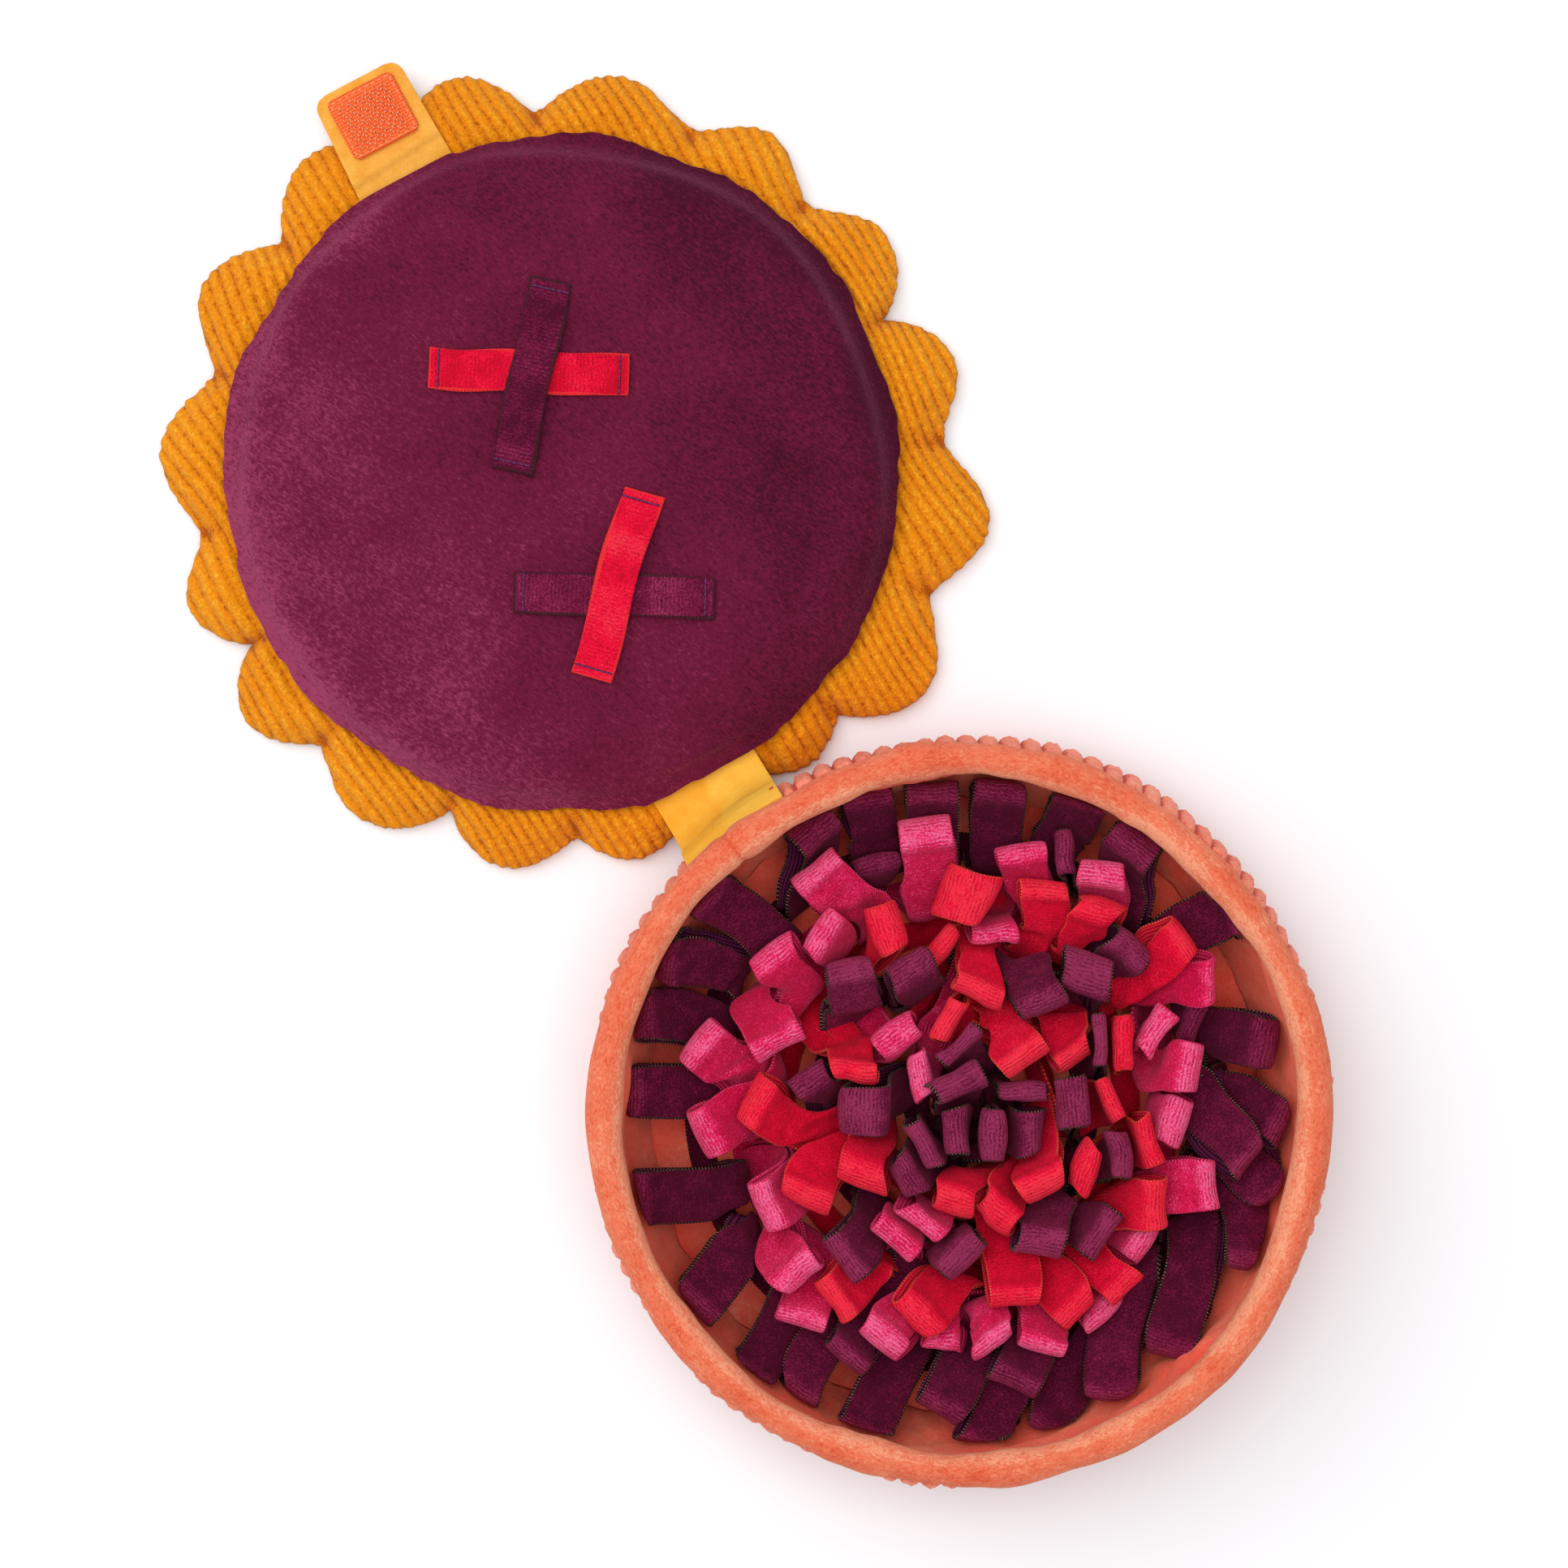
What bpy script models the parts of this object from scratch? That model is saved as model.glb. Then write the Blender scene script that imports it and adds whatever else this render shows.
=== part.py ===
"""Plush snuffle toy: a soft bowl full of ribbon loops, with a scalloped lid on a felt strap.

The origin is the middle of the bowl's flat base. +Y runs from the bowl to the open lid, +Z is up.
All lengths are in metres.
"""
import math

import bmesh
import bpy
from mathutils import Vector

# Clearances
FIT_GAP = 0.0003             # between two pieces that touch
LOOP_SPACE = 0.0006          # between neighbouring loops at their roots

# Bowl
BOWL_HEIGHT = 0.070          # floor to the top of the rim roll
RIM_RADIUS = 0.1183          # middle of the rim roll
RIM_ROLL = 0.0057            # radius of the roll itself
RIM_CLOTH = 0.0012
RIM_SEAM_HALF_ANGLE = math.radians(12)
WALL_FOOT_RADIUS = 0.1216    # rib valleys at the foot and at the top
WALL_BULGE = 0.0025
RIB_DEPTH = 0.0016
RIB_COUNT = 108
WALL_CLOTH = 0.0012
LINING_RADIUS = 0.1155       # inner face of the lining
LINING_CLOTH = 0.0012
BASE_CLOTH = 0.0015
BASE_FOAM = 0.004
BASE_EDGE_ROUND = 0.0008
FLOOR_CLOTH = 0.0015

# Ribbon loops
RIBBON_WIDTH = 0.019
RIBBON_THICKNESS = 0.0015
TAPE_THICKNESS = 0.001
TAPE_MARGIN = 0.002

# Lid
CRUST_THICKNESS = 0.0117     # under the pad's edge
CRUST_SWELL = 0.0023         # extra height under the middle of the pad
CRUST_CLOTH = 0.0014
CRUST_SEAM_HEIGHT = 0.0045   # seam between the two scalloped cloths
CRUST_SHOULDER = 0.118       # radius where the scallops start to fall away
LOBE_RADIUS = 0.1440
VALLEY_RADIUS = 0.1275
LOBE_COUNT = 16
HINGE_GAP_ANGLE = math.radians(11)
PAD_RADIUS = 0.1175
PAD_HEIGHT = 0.015
PAD_CLOTH = 0.0012
SEAM_ALLOWANCE = 0.011

# Felt strap and closure tab
FELT = 0.002
STRAP_WIDTH = 0.0395
STRAP_OFFSET = -0.014        # along X, from the middle of the bowl
STRAP_BEND = 0.008
TAB_TURN = math.radians(-4)  # about the lid's middle
TAB_ROOT_WIDTH = 0.036
TAB_TIP_WIDTH = 0.033
TAB_HEM = 0.0028             # felt left bare before and behind the patch
TAB_CORNER = 0.003
HOOK_WIDTH = 0.025
HOOK_LENGTH = 0.021
HOOK_THICKNESS = 0.0015

# Sewn ribbon crosses on the pad
STRIP_WIDTH = 0.0143
STRIP_LENGTH = 0.068
STRIP_THICKNESS = 0.0012
CROSS_1_PLACE = (0.0091, 0.0359)
CROSS_1_TURNS = (math.radians(-33.8), math.radians(45.6))
CROSS_2_PLACE = (-0.0069, -0.0436)
CROSS_2_TURNS = (math.radians(-33.5), math.radians(42.3))

# Counts of facets
ROUND_SIDES = 48
ROLL_SIDES = 10
LOBE_SIDES = 5
STRIP_STEPS = 9
TAPE_SIDES_LEAST = 14
BEND_STEPS = 4

# Each row is one ring of loops: name, colour, root radius, reach and rise as shares of the bowl's inside
LOOP_RING_SHARES = (
    ("loops_1_purple", "dark_ribbon", 0.778, 0.205, 0.78),
    ("loops_2_pink", "pink_ribbon", 0.648, 0.170, 0.85),
    ("loops_3_red", "red_ribbon", 0.522, 0.155, 0.91),
    ("loops_4_purple", "dark_ribbon", 0.400, 0.150, 0.96),
    ("loops_5_red", "red_ribbon", 0.272, 0.140, 0.99),
    ("loops_6_purple", "dark_ribbon", 0.115, 0.130, 1.00),
)
# A loop seen from its side: shares of its reach and of its rise, from the inner root round to the outer root
LOOP_SIDE_SHARES = (
    (0.00, 0.00),
    (0.17, 0.36),
    (0.38, 0.76),
    (0.68, 1.00),
    (1.00, 0.88),
    (0.80, 0.45),
    (0.32, 0.00),
)
# Loops in a ring stand a little unlike each other
LOOP_RISE_SPREAD_SHARE = 0.05
LOOP_WAVES = 2.4
# Pad's section: shares of its radius and of its height, from the edge to the crown
PAD_SECTION_SHARES = (
    (1.000, 0.00),
    (1.000, 0.20),
    (0.985, 0.34),
    (0.955, 0.52),
    (0.890, 0.68),
    (0.760, 0.83),
    (0.520, 0.94),
    (0.270, 0.985),
)
PAD_SHOULDER_ROW = 2
# How far each scallop reaches between its valley and the full radius, from the strap round by +X
LOBE_REACH_SHARES = (
    0.55, 0.80, 0.92, 1.00, 1.00, 0.97, 0.94, 0.98,
    1.00, 0.97, 0.92, 0.90, 0.88, 0.92, 0.84, 0.62,
)
LOBE_ROUNDNESS = 0.8
# Fall of a scallop from the pad to its edge: shares of the way out and of the height
CRUST_FALL_SHARES = ((0.0, 1.00), (0.45, 0.90), (0.82, 0.56), (1.0, 0.0))
WADDING_FALL_SHARES = ((0.0, 1.0), (0.5, 0.80), (0.8, 0.40))
# Underside of the crust: shares of the way out where it leaves the ground, and its rise there
BACK_FLAT_SHARE = 0.50
BACK_TURN_SHARE = 0.85
BACK_TURN_RISE_SHARE = 0.33
WADDING_FLOOR_SHARE = 0.35
# The strap lies on the ribs over this share of its width at a time
STRAP_COLUMN_SHARES = (-1, -0.5, 0, 0.5, 1)
# A strip that crosses another climbs over this share of its half length
CLIMB_SHARE = 0.4

COLOURS = {
    "salmon_rib": (0.80, 0.19, 0.13, 0.90),
    "coral_plush": (0.78, 0.19, 0.10, 0.95),
    "orange_lining": (0.65, 0.12, 0.06, 0.95),
    "foam": (0.80, 0.78, 0.70, 0.90),
    "wadding": (0.85, 0.85, 0.83, 1.00),
    "dark_ribbon": (0.08, 0.01, 0.04, 0.80),
    "pink_ribbon": (0.72, 0.05, 0.15, 0.75),
    "red_ribbon": (0.66, 0.02, 0.03, 0.75),
    "mustard_corduroy": (0.72, 0.27, 0.01, 0.95),
    "purple_plush": (0.15, 0.02, 0.06, 0.95),
    "yellow_felt": (0.85, 0.40, 0.03, 0.95),
    "tab_felt": (0.80, 0.30, 0.03, 0.95),
    "hook_tape": (0.80, 0.12, 0.02, 0.60),
}

# Sizes that follow
wall_top = BOWL_HEIGHT - 2 * RIM_ROLL - FIT_GAP
rim_height = BOWL_HEIGHT - RIM_ROLL
base_foam_bottom = BASE_CLOTH + FIT_GAP
floor_bottom = base_foam_bottom + BASE_FOAM + FIT_GAP
floor_top = floor_bottom + FLOOR_CLOTH
tape_bottom = floor_top + FIT_GAP
tape_top = tape_bottom + TAPE_THICKNESS
foam_inner = LINING_RADIUS + LINING_CLOTH + FIT_GAP
felt_bottom = CRUST_THICKNESS + FIT_GAP
pad_bottom = felt_bottom + FELT + FIT_GAP
pad_shoulder = pad_bottom + PAD_HEIGHT * PAD_SECTION_SHARES[PAD_SHOULDER_ROW][1]
wall_crest = WALL_FOOT_RADIUS + WALL_BULGE + RIB_DEPTH
hinge_y = wall_crest + 2 * FIT_GAP + FELT * 3 / 2
hinge_z = (BOWL_HEIGHT + FIT_GAP + pad_shoulder) / 2
lid_y = 2 * hinge_y
pad_crown_closed = 2 * hinge_z - pad_bottom - PAD_HEIGHT
cross_stack = 2 * (STRIP_THICKNESS + FIT_GAP)
loop_rise = pad_crown_closed - cross_stack - tape_top - RIBBON_THICKNESS - FIT_GAP
fold_radius = wall_crest + HOOK_THICKNESS + 3 * FIT_GAP
seam_radius = PAD_RADIUS - SEAM_ALLOWANCE
tab_reach = fold_radius + FIT_GAP + HOOK_LENGTH + 2 * TAB_HEM


def make_material(name):
    red, green, blue, roughness = COLOURS[name]
    material = bpy.data.materials.new(name)
    material.use_nodes = True
    shader = material.node_tree.nodes["Principled BSDF"]
    shader.inputs["Base Color"].default_value = (red, green, blue, 1)
    shader.inputs["Roughness"].default_value = roughness
    shader.inputs["Metallic"].default_value = 0
    material.diffuse_color = (red, green, blue, 1)
    return material


def make_empty(name, place, parent=None, turn=0):
    empty = bpy.data.objects.new(name, None)
    empty.location = place
    empty.rotation_euler.z = turn
    empty.parent = parent
    bpy.context.scene.collection.objects.link(empty)
    return empty


def make_object(name, bm, colour, parent, place=(0, 0, 0), sharp=math.radians(50)):
    """Turn a bmesh into an object with its own material, smooth apart from its sharp edges."""
    bmesh.ops.recalc_face_normals(bm, faces=bm.faces)
    mesh = bpy.data.meshes.new(name)
    bm.to_mesh(mesh)
    bm.free()
    mesh.shade_smooth()
    mesh.set_sharp_from_angle(angle=sharp)
    mesh.materials.append(make_material(colour))
    piece = bpy.data.objects.new(name, mesh)
    piece.parent = parent
    piece.location = place
    bpy.context.scene.collection.objects.link(piece)
    return piece


def skin_rings(bm, rings, closed=False):
    """Skin a row of closed rings with quads. An open row is capped, a closed one meets its own start."""
    rows = [[bm.verts.new(point) for point in ring] for ring in rings]
    pairs = list(zip(rows, rows[1:]))
    if closed:
        pairs.append((rows[-1], rows[0]))
    else:
        bm.faces.new(rows[0])
        bm.faces.new(rows[-1])
    for low, high in pairs:
        for side in range(len(low)):
            after = (side + 1) % len(low)
            bm.faces.new((low[side], low[after], high[after], high[side]))


def circle(radius, height, sides=ROUND_SIDES):
    turns = [2 * math.pi * side / sides for side in range(sides)]
    return [Vector((radius * math.cos(turn), radius * math.sin(turn), height)) for turn in turns]


def turned(name, section, colour, parent, place=(0, 0, 0), closed=False, sides=ROUND_SIDES):
    """A turned solid from (radius, height) rows."""
    bm = bmesh.new()
    skin_rings(bm, [circle(radius, height, sides) for radius, height in section], closed)
    return make_object(name, bm, colour, parent, place)


def slab(name, outline, bottom, top, colour, parent, place=(0, 0, 0)):
    """A flat outline with a thickness."""
    bm = bmesh.new()
    skin_rings(bm, [[Vector((x, y, height)) for x, y in outline] for height in (bottom, top)])
    return make_object(name, bm, colour, parent, place)


def cloth(name, grid, thickness, colour, parent, place=(0, 0, 0)):
    """A bent sheet of even thickness, whose middle surface passes through a grid of points."""
    rows = len(grid)
    columns = len(grid[0])
    half = thickness / 2

    def normal_at(row, column):
        along = grid[min(row + 1, rows - 1)][column] - grid[max(row - 1, 0)][column]
        across = grid[row][min(column + 1, columns - 1)] - grid[row][max(column - 1, 0)]
        return across.cross(along).normalized()

    def section_at(row):
        upper = [grid[row][column] + half * normal_at(row, column) for column in range(columns)]
        lower = [grid[row][column] - half * normal_at(row, column) for column in range(columns)]
        return upper + lower[::-1]

    bm = bmesh.new()
    skin_rings(bm, [section_at(row) for row in range(rows)])
    return make_object(name, bm, colour, parent, place)


def wall_radius(height):
    """Radius of the rib valleys at a height up the wall."""
    return WALL_FOOT_RADIUS + WALL_BULGE * math.sin(math.pi * height / wall_top)


def make_base(bowl):
    base_radius = WALL_FOOT_RADIUS - FIT_GAP
    turned("base_panel", (
        (base_radius - BASE_EDGE_ROUND, 0),
        (base_radius, BASE_EDGE_ROUND),
        (base_radius, BASE_CLOTH),
    ), "salmon_rib", bowl)
    foam_radius = foam_inner - FIT_GAP
    turned("base_foam", (
        (foam_radius, base_foam_bottom),
        (foam_radius, base_foam_bottom + BASE_FOAM),
    ), "foam", bowl)
    turned("floor_lining", ((foam_radius, floor_bottom), (foam_radius, floor_top)), "orange_lining", bowl)


def make_wall(bowl):
    """Ribbed cover, foam band and lining, one inside the other."""
    bottom = base_foam_bottom
    cover_inner = -WALL_CLOTH
    foam_outer = cover_inner - FIT_GAP
    middle = (bottom + wall_top) / 2

    def ribbed_ring(height):
        points = []
        for side in range(2 * RIB_COUNT):
            turn = math.pi * side / RIB_COUNT
            radius = wall_radius(height) + RIB_DEPTH * (side % 2)
            points.append(Vector((radius * math.cos(turn), radius * math.sin(turn), height)))
        return points

    bm = bmesh.new()
    rings = [ribbed_ring(height) for height in (bottom, middle, wall_top)]
    for height in (wall_top, middle, bottom):
        rings.append(circle(wall_radius(height) + cover_inner, height, 2 * RIB_COUNT))
    skin_rings(bm, rings, closed=True)
    make_object("wall_cover", bm, "salmon_rib", bowl, sharp=math.radians(80))

    foam_heights = (bottom, middle, wall_top)
    foam_section = [(wall_radius(height) + foam_outer - FIT_GAP, height) for height in foam_heights]
    foam_section += [(foam_inner, wall_top), (foam_inner, bottom)]
    turned("wall_foam", foam_section, "foam", bowl, closed=True)
    lining_bottom = floor_top + FIT_GAP
    turned("wall_lining", (
        (LINING_RADIUS, lining_bottom),
        (LINING_RADIUS + LINING_CLOTH, lining_bottom),
        (LINING_RADIUS + LINING_CLOTH, wall_top),
        (LINING_RADIUS, wall_top),
    ), "orange_lining", bowl, closed=True)


def make_rim(bowl):
    """Plush binding rolled round its wadding and open along the seam under it."""
    def arc(radius, sides):
        start = -math.pi / 2 + RIM_SEAM_HALF_ANGLE
        sweep = 2 * math.pi - 2 * RIM_SEAM_HALF_ANGLE
        turns = [start + sweep * side / sides for side in range(sides + 1)]
        points = [(radius * math.cos(turn), radius * math.sin(turn)) for turn in turns]
        return [(RIM_RADIUS + out, rim_height + up) for out, up in points]

    cover = arc(RIM_ROLL, ROLL_SIDES) + arc(RIM_ROLL - RIM_CLOTH, ROLL_SIDES - 2)[::-1]
    turned("rim_cover", cover, "coral_plush", bowl, closed=True)
    wadding_radius = (RIM_ROLL - RIM_CLOTH) * math.cos(math.pi / (ROLL_SIDES - 2)) - FIT_GAP
    wadding = arc(wadding_radius, ROLL_SIDES - 3)
    turned("rim_wadding", wadding, "wadding", bowl, closed=True)


def loop_sections(inner_radius, reach, rise):
    """Rectangles across a ribbon loop that leans outward, from its inner root to its outer root."""
    sink = TAPE_THICKNESS / 2
    path = [Vector((inner_radius + reach * out, tape_top + rise * up)) for out, up in LOOP_SIDE_SHARES]
    path[0].y -= sink
    path[-1].y -= sink
    sections = []
    for step, point in enumerate(path):
        before = path[max(step - 1, 0)]
        after = path[min(step + 1, len(path) - 1)]
        run = (after - before).normalized()
        if step in (0, len(path) - 1):
            run = Vector((0, 1 if step == 0 else -1))
        side = Vector((-run.y, run.x)) * RIBBON_THICKNESS / 2
        outer = point + side
        inner = point - side
        half = RIBBON_WIDTH / 2
        sections.append([
            Vector((outer.x, -half, outer.y)),
            Vector((outer.x, half, outer.y)),
            Vector((inner.x, half, inner.y)),
            Vector((inner.x, -half, inner.y)),
        ])
    return sections


def make_loop_ring(bowl, number, name, colour, root_share, reach_share, rise_share):
    """A ring of ribbon loops, sewn side by side to a round tape."""
    inner_radius = LINING_RADIUS * root_share
    reach = LINING_RADIUS * reach_share
    root_clear = inner_radius - RIBBON_THICKNESS / 2
    count = int(math.pi / math.atan((RIBBON_WIDTH + LOOP_SPACE) / 2 / root_clear))
    outer_root = inner_radius + reach * LOOP_SIDE_SHARES[-1][0]
    tape_sides = count * math.ceil(TAPE_SIDES_LEAST / count)
    spin = math.pi / tape_sides
    tape_in = (inner_radius - TAPE_MARGIN) / math.cos(spin)
    tape_out = (outer_root + TAPE_MARGIN) / math.cos(spin)
    tape_section = (
        (tape_in, tape_bottom),
        (tape_out, tape_bottom),
        (tape_out, tape_top),
        (tape_in, tape_top),
    )
    tape = turned(name, tape_section, colour, bowl, closed=True, sides=tape_sides)

    bm = bmesh.new()
    for index in range(count):
        turn = 2 * math.pi * index / count + spin
        sway = 0.5 + 0.5 * math.sin(LOOP_WAVES * (index + number))
        rise = loop_rise * rise_share * (1 - LOOP_RISE_SPREAD_SHARE * sway)
        sections = loop_sections(inner_radius, reach, rise)
        cosine, sine = math.cos(turn), math.sin(turn)
        turned_sections = []
        for section in sections:
            turned_sections.append([
                Vector((p.x * cosine - p.y * sine, p.x * sine + p.y * cosine, p.z)) for p in section])
        skin_rings(bm, turned_sections)
    loops = make_object(name + "_ribbons", bm, colour, bowl)
    loops.hide_render = True
    loops.display_type = "WIRE"
    sewn = tape.modifiers.new("sewn", "BOOLEAN")
    sewn.operation = "UNION"
    sewn.object = loops


def crust_outline(inset=0):
    """Scalloped outline: the lobes share the turn that the strap's plain stretch leaves."""
    lobe_angle = (2 * math.pi - HINGE_GAP_ANGLE) / LOBE_COUNT
    start = -math.pi / 2 + HINGE_GAP_ANGLE / 2
    outline = []
    for lobe in range(LOBE_COUNT):
        reach = (LOBE_RADIUS - VALLEY_RADIUS) * LOBE_REACH_SHARES[lobe]
        for side in range(LOBE_SIDES):
            across = side / LOBE_SIDES
            turn = start + lobe_angle * (lobe + across)
            swell = math.sin(math.pi * across) ** LOBE_ROUNDNESS
            outline.append((turn, VALLEY_RADIUS + reach * swell - inset))
    outline.append((start - HINGE_GAP_ANGLE, VALLEY_RADIUS - inset))
    return outline


def crust_ring(share, height, inset=0, radius=None):
    """A ring between the pad's shoulder circle (share 0) and the scalloped outline (share 1)."""
    points = []
    for turn, edge in crust_outline(inset):
        reach = radius if radius else CRUST_SHOULDER + (edge - CRUST_SHOULDER) * share
        points.append(Vector((reach * math.cos(turn), reach * math.sin(turn), height)))
    return points


def make_crust(lid, place):
    """Two scalloped cloths that meet at an edge seam, with wadding between them."""
    seam_top = CRUST_SEAM_HEIGHT + FIT_GAP
    inset = 2 * CRUST_CLOTH
    swell_top = CRUST_THICKNESS + CRUST_SWELL
    swell_radius = seam_radius - FIT_GAP - CRUST_SWELL
    edge_top = seam_top + CRUST_CLOTH
    rings = [crust_ring(0, swell_top, radius=swell_radius)]
    rings.append(crust_ring(0, CRUST_THICKNESS, radius=seam_radius))
    for out, up in CRUST_FALL_SHARES:
        rings.append(crust_ring(out, edge_top + (CRUST_THICKNESS - edge_top) * up))
    rings.append(crust_ring(1, seam_top))
    for out, up in CRUST_FALL_SHARES[-2::-1]:
        ceiling = CRUST_THICKNESS - CRUST_CLOTH
        rings.append(crust_ring(out, seam_top + (ceiling - seam_top) * up, inset))
    rings.append(crust_ring(0, CRUST_THICKNESS - CRUST_CLOTH, radius=swell_radius))
    bm = bmesh.new()
    skin_rings(bm, rings)
    make_object("crust_face", bm, "mustard_corduroy", lid, place)

    turn_rise = CRUST_SEAM_HEIGHT * BACK_TURN_RISE_SHARE
    rings = [crust_ring(BACK_FLAT_SHARE, 0), crust_ring(BACK_TURN_SHARE, turn_rise)]
    rings.append(crust_ring(1, CRUST_SEAM_HEIGHT - CRUST_CLOTH))
    rings.append(crust_ring(1, CRUST_SEAM_HEIGHT))
    rings.append(crust_ring(BACK_TURN_SHARE, turn_rise + CRUST_CLOTH, inset))
    rings.append(crust_ring(BACK_FLAT_SHARE, CRUST_CLOTH, inset))
    bm = bmesh.new()
    skin_rings(bm, rings)
    make_object("crust_back", bm, "mustard_corduroy", lid, place)

    low = CRUST_CLOTH + FIT_GAP
    high = CRUST_THICKNESS - CRUST_CLOTH - FIT_GAP
    middle = CRUST_SEAM_HEIGHT + FIT_GAP
    wadding_inset = inset + 2 * FIT_GAP
    rings = [crust_ring(WADDING_FLOOR_SHARE, low, wadding_inset)]
    for out, up in WADDING_FALL_SHARES[::-1]:
        rings.append(crust_ring(out, middle + (high - middle) * up, wadding_inset))
    bm = bmesh.new()
    skin_rings(bm, rings)
    make_object("crust_wadding", bm, "wadding", lid, place)


def pad_height_at(radius):
    """Height of the pad's crown over the ground at a distance from its middle."""
    rows = [(PAD_RADIUS * out, pad_bottom + PAD_HEIGHT * up) for out, up in PAD_SECTION_SHARES]
    rows.append((0, pad_bottom + PAD_HEIGHT))
    for (outer, low), (inner, high) in zip(rows, rows[1:]):
        if inner <= radius <= outer and outer > inner:
            return high + (low - high) * (radius - inner) / (outer - inner)
    return pad_bottom + PAD_HEIGHT


def make_pad(lid, place):
    outside = [(PAD_RADIUS * out, pad_bottom + PAD_HEIGHT * up) for out, up in PAD_SECTION_SHARES]
    inside = []
    for radius, height in outside[:0:-2]:
        inside.append((radius - PAD_CLOTH, height - PAD_CLOTH))
    inside.append((PAD_RADIUS - PAD_CLOTH, pad_bottom))
    turned("pad_cover", outside[::-1] + inside[::-1], "purple_plush", lid, place)
    filling = [(radius - FIT_GAP, height - FIT_GAP) for radius, height in inside[:-1]]
    filling.append((PAD_RADIUS - PAD_CLOTH - 2 * FIT_GAP, pad_bottom))
    turned("pad_filling", filling, "wadding", lid, place)


def make_strip(name, centre, turn, lift, colour, lid, place):
    """A ribbon strip that follows the pad's crown, and climbs over another strip where lift is above zero."""
    along = Vector((math.cos(turn), math.sin(turn), 0))
    across = Vector((-math.sin(turn), math.cos(turn), 0))
    grid = []
    for step in range(STRIP_STEPS + 1):
        share = 2 * step / STRIP_STEPS - 1
        climb = lift * min(1, (1 - abs(share)) / CLIMB_SHARE)
        row = []
        for side in (-1, 0, 1):
            flat = along * (share * STRIP_LENGTH / 2) + across * (side * STRIP_WIDTH / 2)
            point = Vector((centre[0] + flat.x, centre[1] + flat.y, 0))
            point.z = pad_height_at(point.length) + FIT_GAP + STRIP_THICKNESS / 2 + climb
            row.append(point)
        grid.append(row)
    cloth(name, grid, STRIP_THICKNESS, colour, lid, place)


def make_crosses(lid, place):
    step_up = STRIP_THICKNESS + FIT_GAP
    make_strip("cross_1_under", CROSS_1_PLACE, CROSS_1_TURNS[0], 0, "red_ribbon", lid, place)
    make_strip("cross_1_over", CROSS_1_PLACE, CROSS_1_TURNS[1], step_up, "dark_ribbon", lid, place)
    make_strip("cross_2_under", CROSS_2_PLACE, CROSS_2_TURNS[0], 0, "dark_ribbon", lid, place)
    make_strip("cross_2_over", CROSS_2_PLACE, CROSS_2_TURNS[1], step_up, "red_ribbon", lid, place)


def make_strap(bowl, lid):
    """Felt strap in two runs: one lies on the bowl's wall, the other hangs to the lid."""
    half = STRAP_WIDTH / 2
    columns = [STRAP_OFFSET + half * share for share in STRAP_COLUMN_SHARES]
    rest_radius = hinge_y - FELT - FIT_GAP
    heights = [hinge_z + (wall_top - hinge_z) * step / BEND_STEPS for step in range(BEND_STEPS + 1)]
    grid = []
    for step, height in enumerate(heights):
        hug = step / BEND_STEPS
        against_wall = wall_radius(height) + RIB_DEPTH + FIT_GAP + FELT / 2
        radius = rest_radius + (against_wall - rest_radius) * hug
        row = []
        for x in columns:
            sag = radius - math.sqrt(radius * radius - x * x)
            row.append(Vector((x, radius - sag * hug, height)))
        grid.append(row)
    cloth("hinge_strap_bowl", grid, FELT, "yellow_felt", bowl)

    felt_middle = felt_bottom + FELT / 2 - hinge_z
    run_end = lid_y - seam_radius - hinge_y
    path = [Vector((0, 0)), Vector((0, felt_middle / 3))]
    for step in range(BEND_STEPS + 1):
        turn = math.pi / 2 * step / BEND_STEPS
        out = STRAP_BEND * (1 - math.cos(turn))
        path.append(Vector((out, felt_middle + STRAP_BEND * (1 - math.sin(turn)))))
    path.append(Vector((run_end, felt_middle)))
    grid = [[Vector((x, point.x, point.y)) for x in (columns[0], columns[-1])] for point in path]
    cloth("hinge_strap_lid", grid, FELT, "yellow_felt", lid)


def make_tab(lid, place, tab):
    """Closure tab: its root is sewn under the pad, and its flap folds with the hook patch."""
    def width_at(reach):
        share = (reach - PAD_RADIUS) / (tab_reach - PAD_RADIUS)
        return TAB_ROOT_WIDTH + (TAB_TIP_WIDTH - TAB_ROOT_WIDTH) * share

    root_end = fold_radius - FIT_GAP
    root_start = seam_radius
    root = [(-width_at(PAD_RADIUS) / 2, root_start), (width_at(PAD_RADIUS) / 2, root_start)]
    root += [(width_at(root_end) / 2, root_end), (-width_at(root_end) / 2, root_end)]
    piece = slab("tab_root", root, felt_bottom, felt_bottom + FELT, "tab_felt", lid, place)
    piece.rotation_euler.z = TAB_TURN

    flap_start = FIT_GAP
    flap_end = tab_reach - fold_radius
    near = width_at(fold_radius + flap_start) / 2
    far = TAB_TIP_WIDTH / 2
    outline = [(-near, flap_start), (near, flap_start)]
    for step in range(BEND_STEPS + 1):
        turn = math.pi / 2 * step / BEND_STEPS
        outline.append((far - TAB_CORNER + TAB_CORNER * math.cos(turn),
                        flap_end - TAB_CORNER + TAB_CORNER * math.sin(turn)))
    outline += [(-x, y) for x, y in outline[:1:-1]]
    slab("tab_flap", outline, -FELT, 0, "tab_felt", tab)

    hook_start = (flap_start + flap_end - HOOK_LENGTH) / 2
    half = HOOK_WIDTH / 2
    patch = [(-half, hook_start), (half, hook_start)]
    patch += [(half, hook_start + HOOK_LENGTH), (-half, hook_start + HOOK_LENGTH)]
    slab("hook_patch", patch, FIT_GAP, FIT_GAP + HOOK_THICKNESS, "hook_tape", tab)


for old in list(bpy.data.objects):
    bpy.data.objects.remove(old, do_unlink=True)

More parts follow.
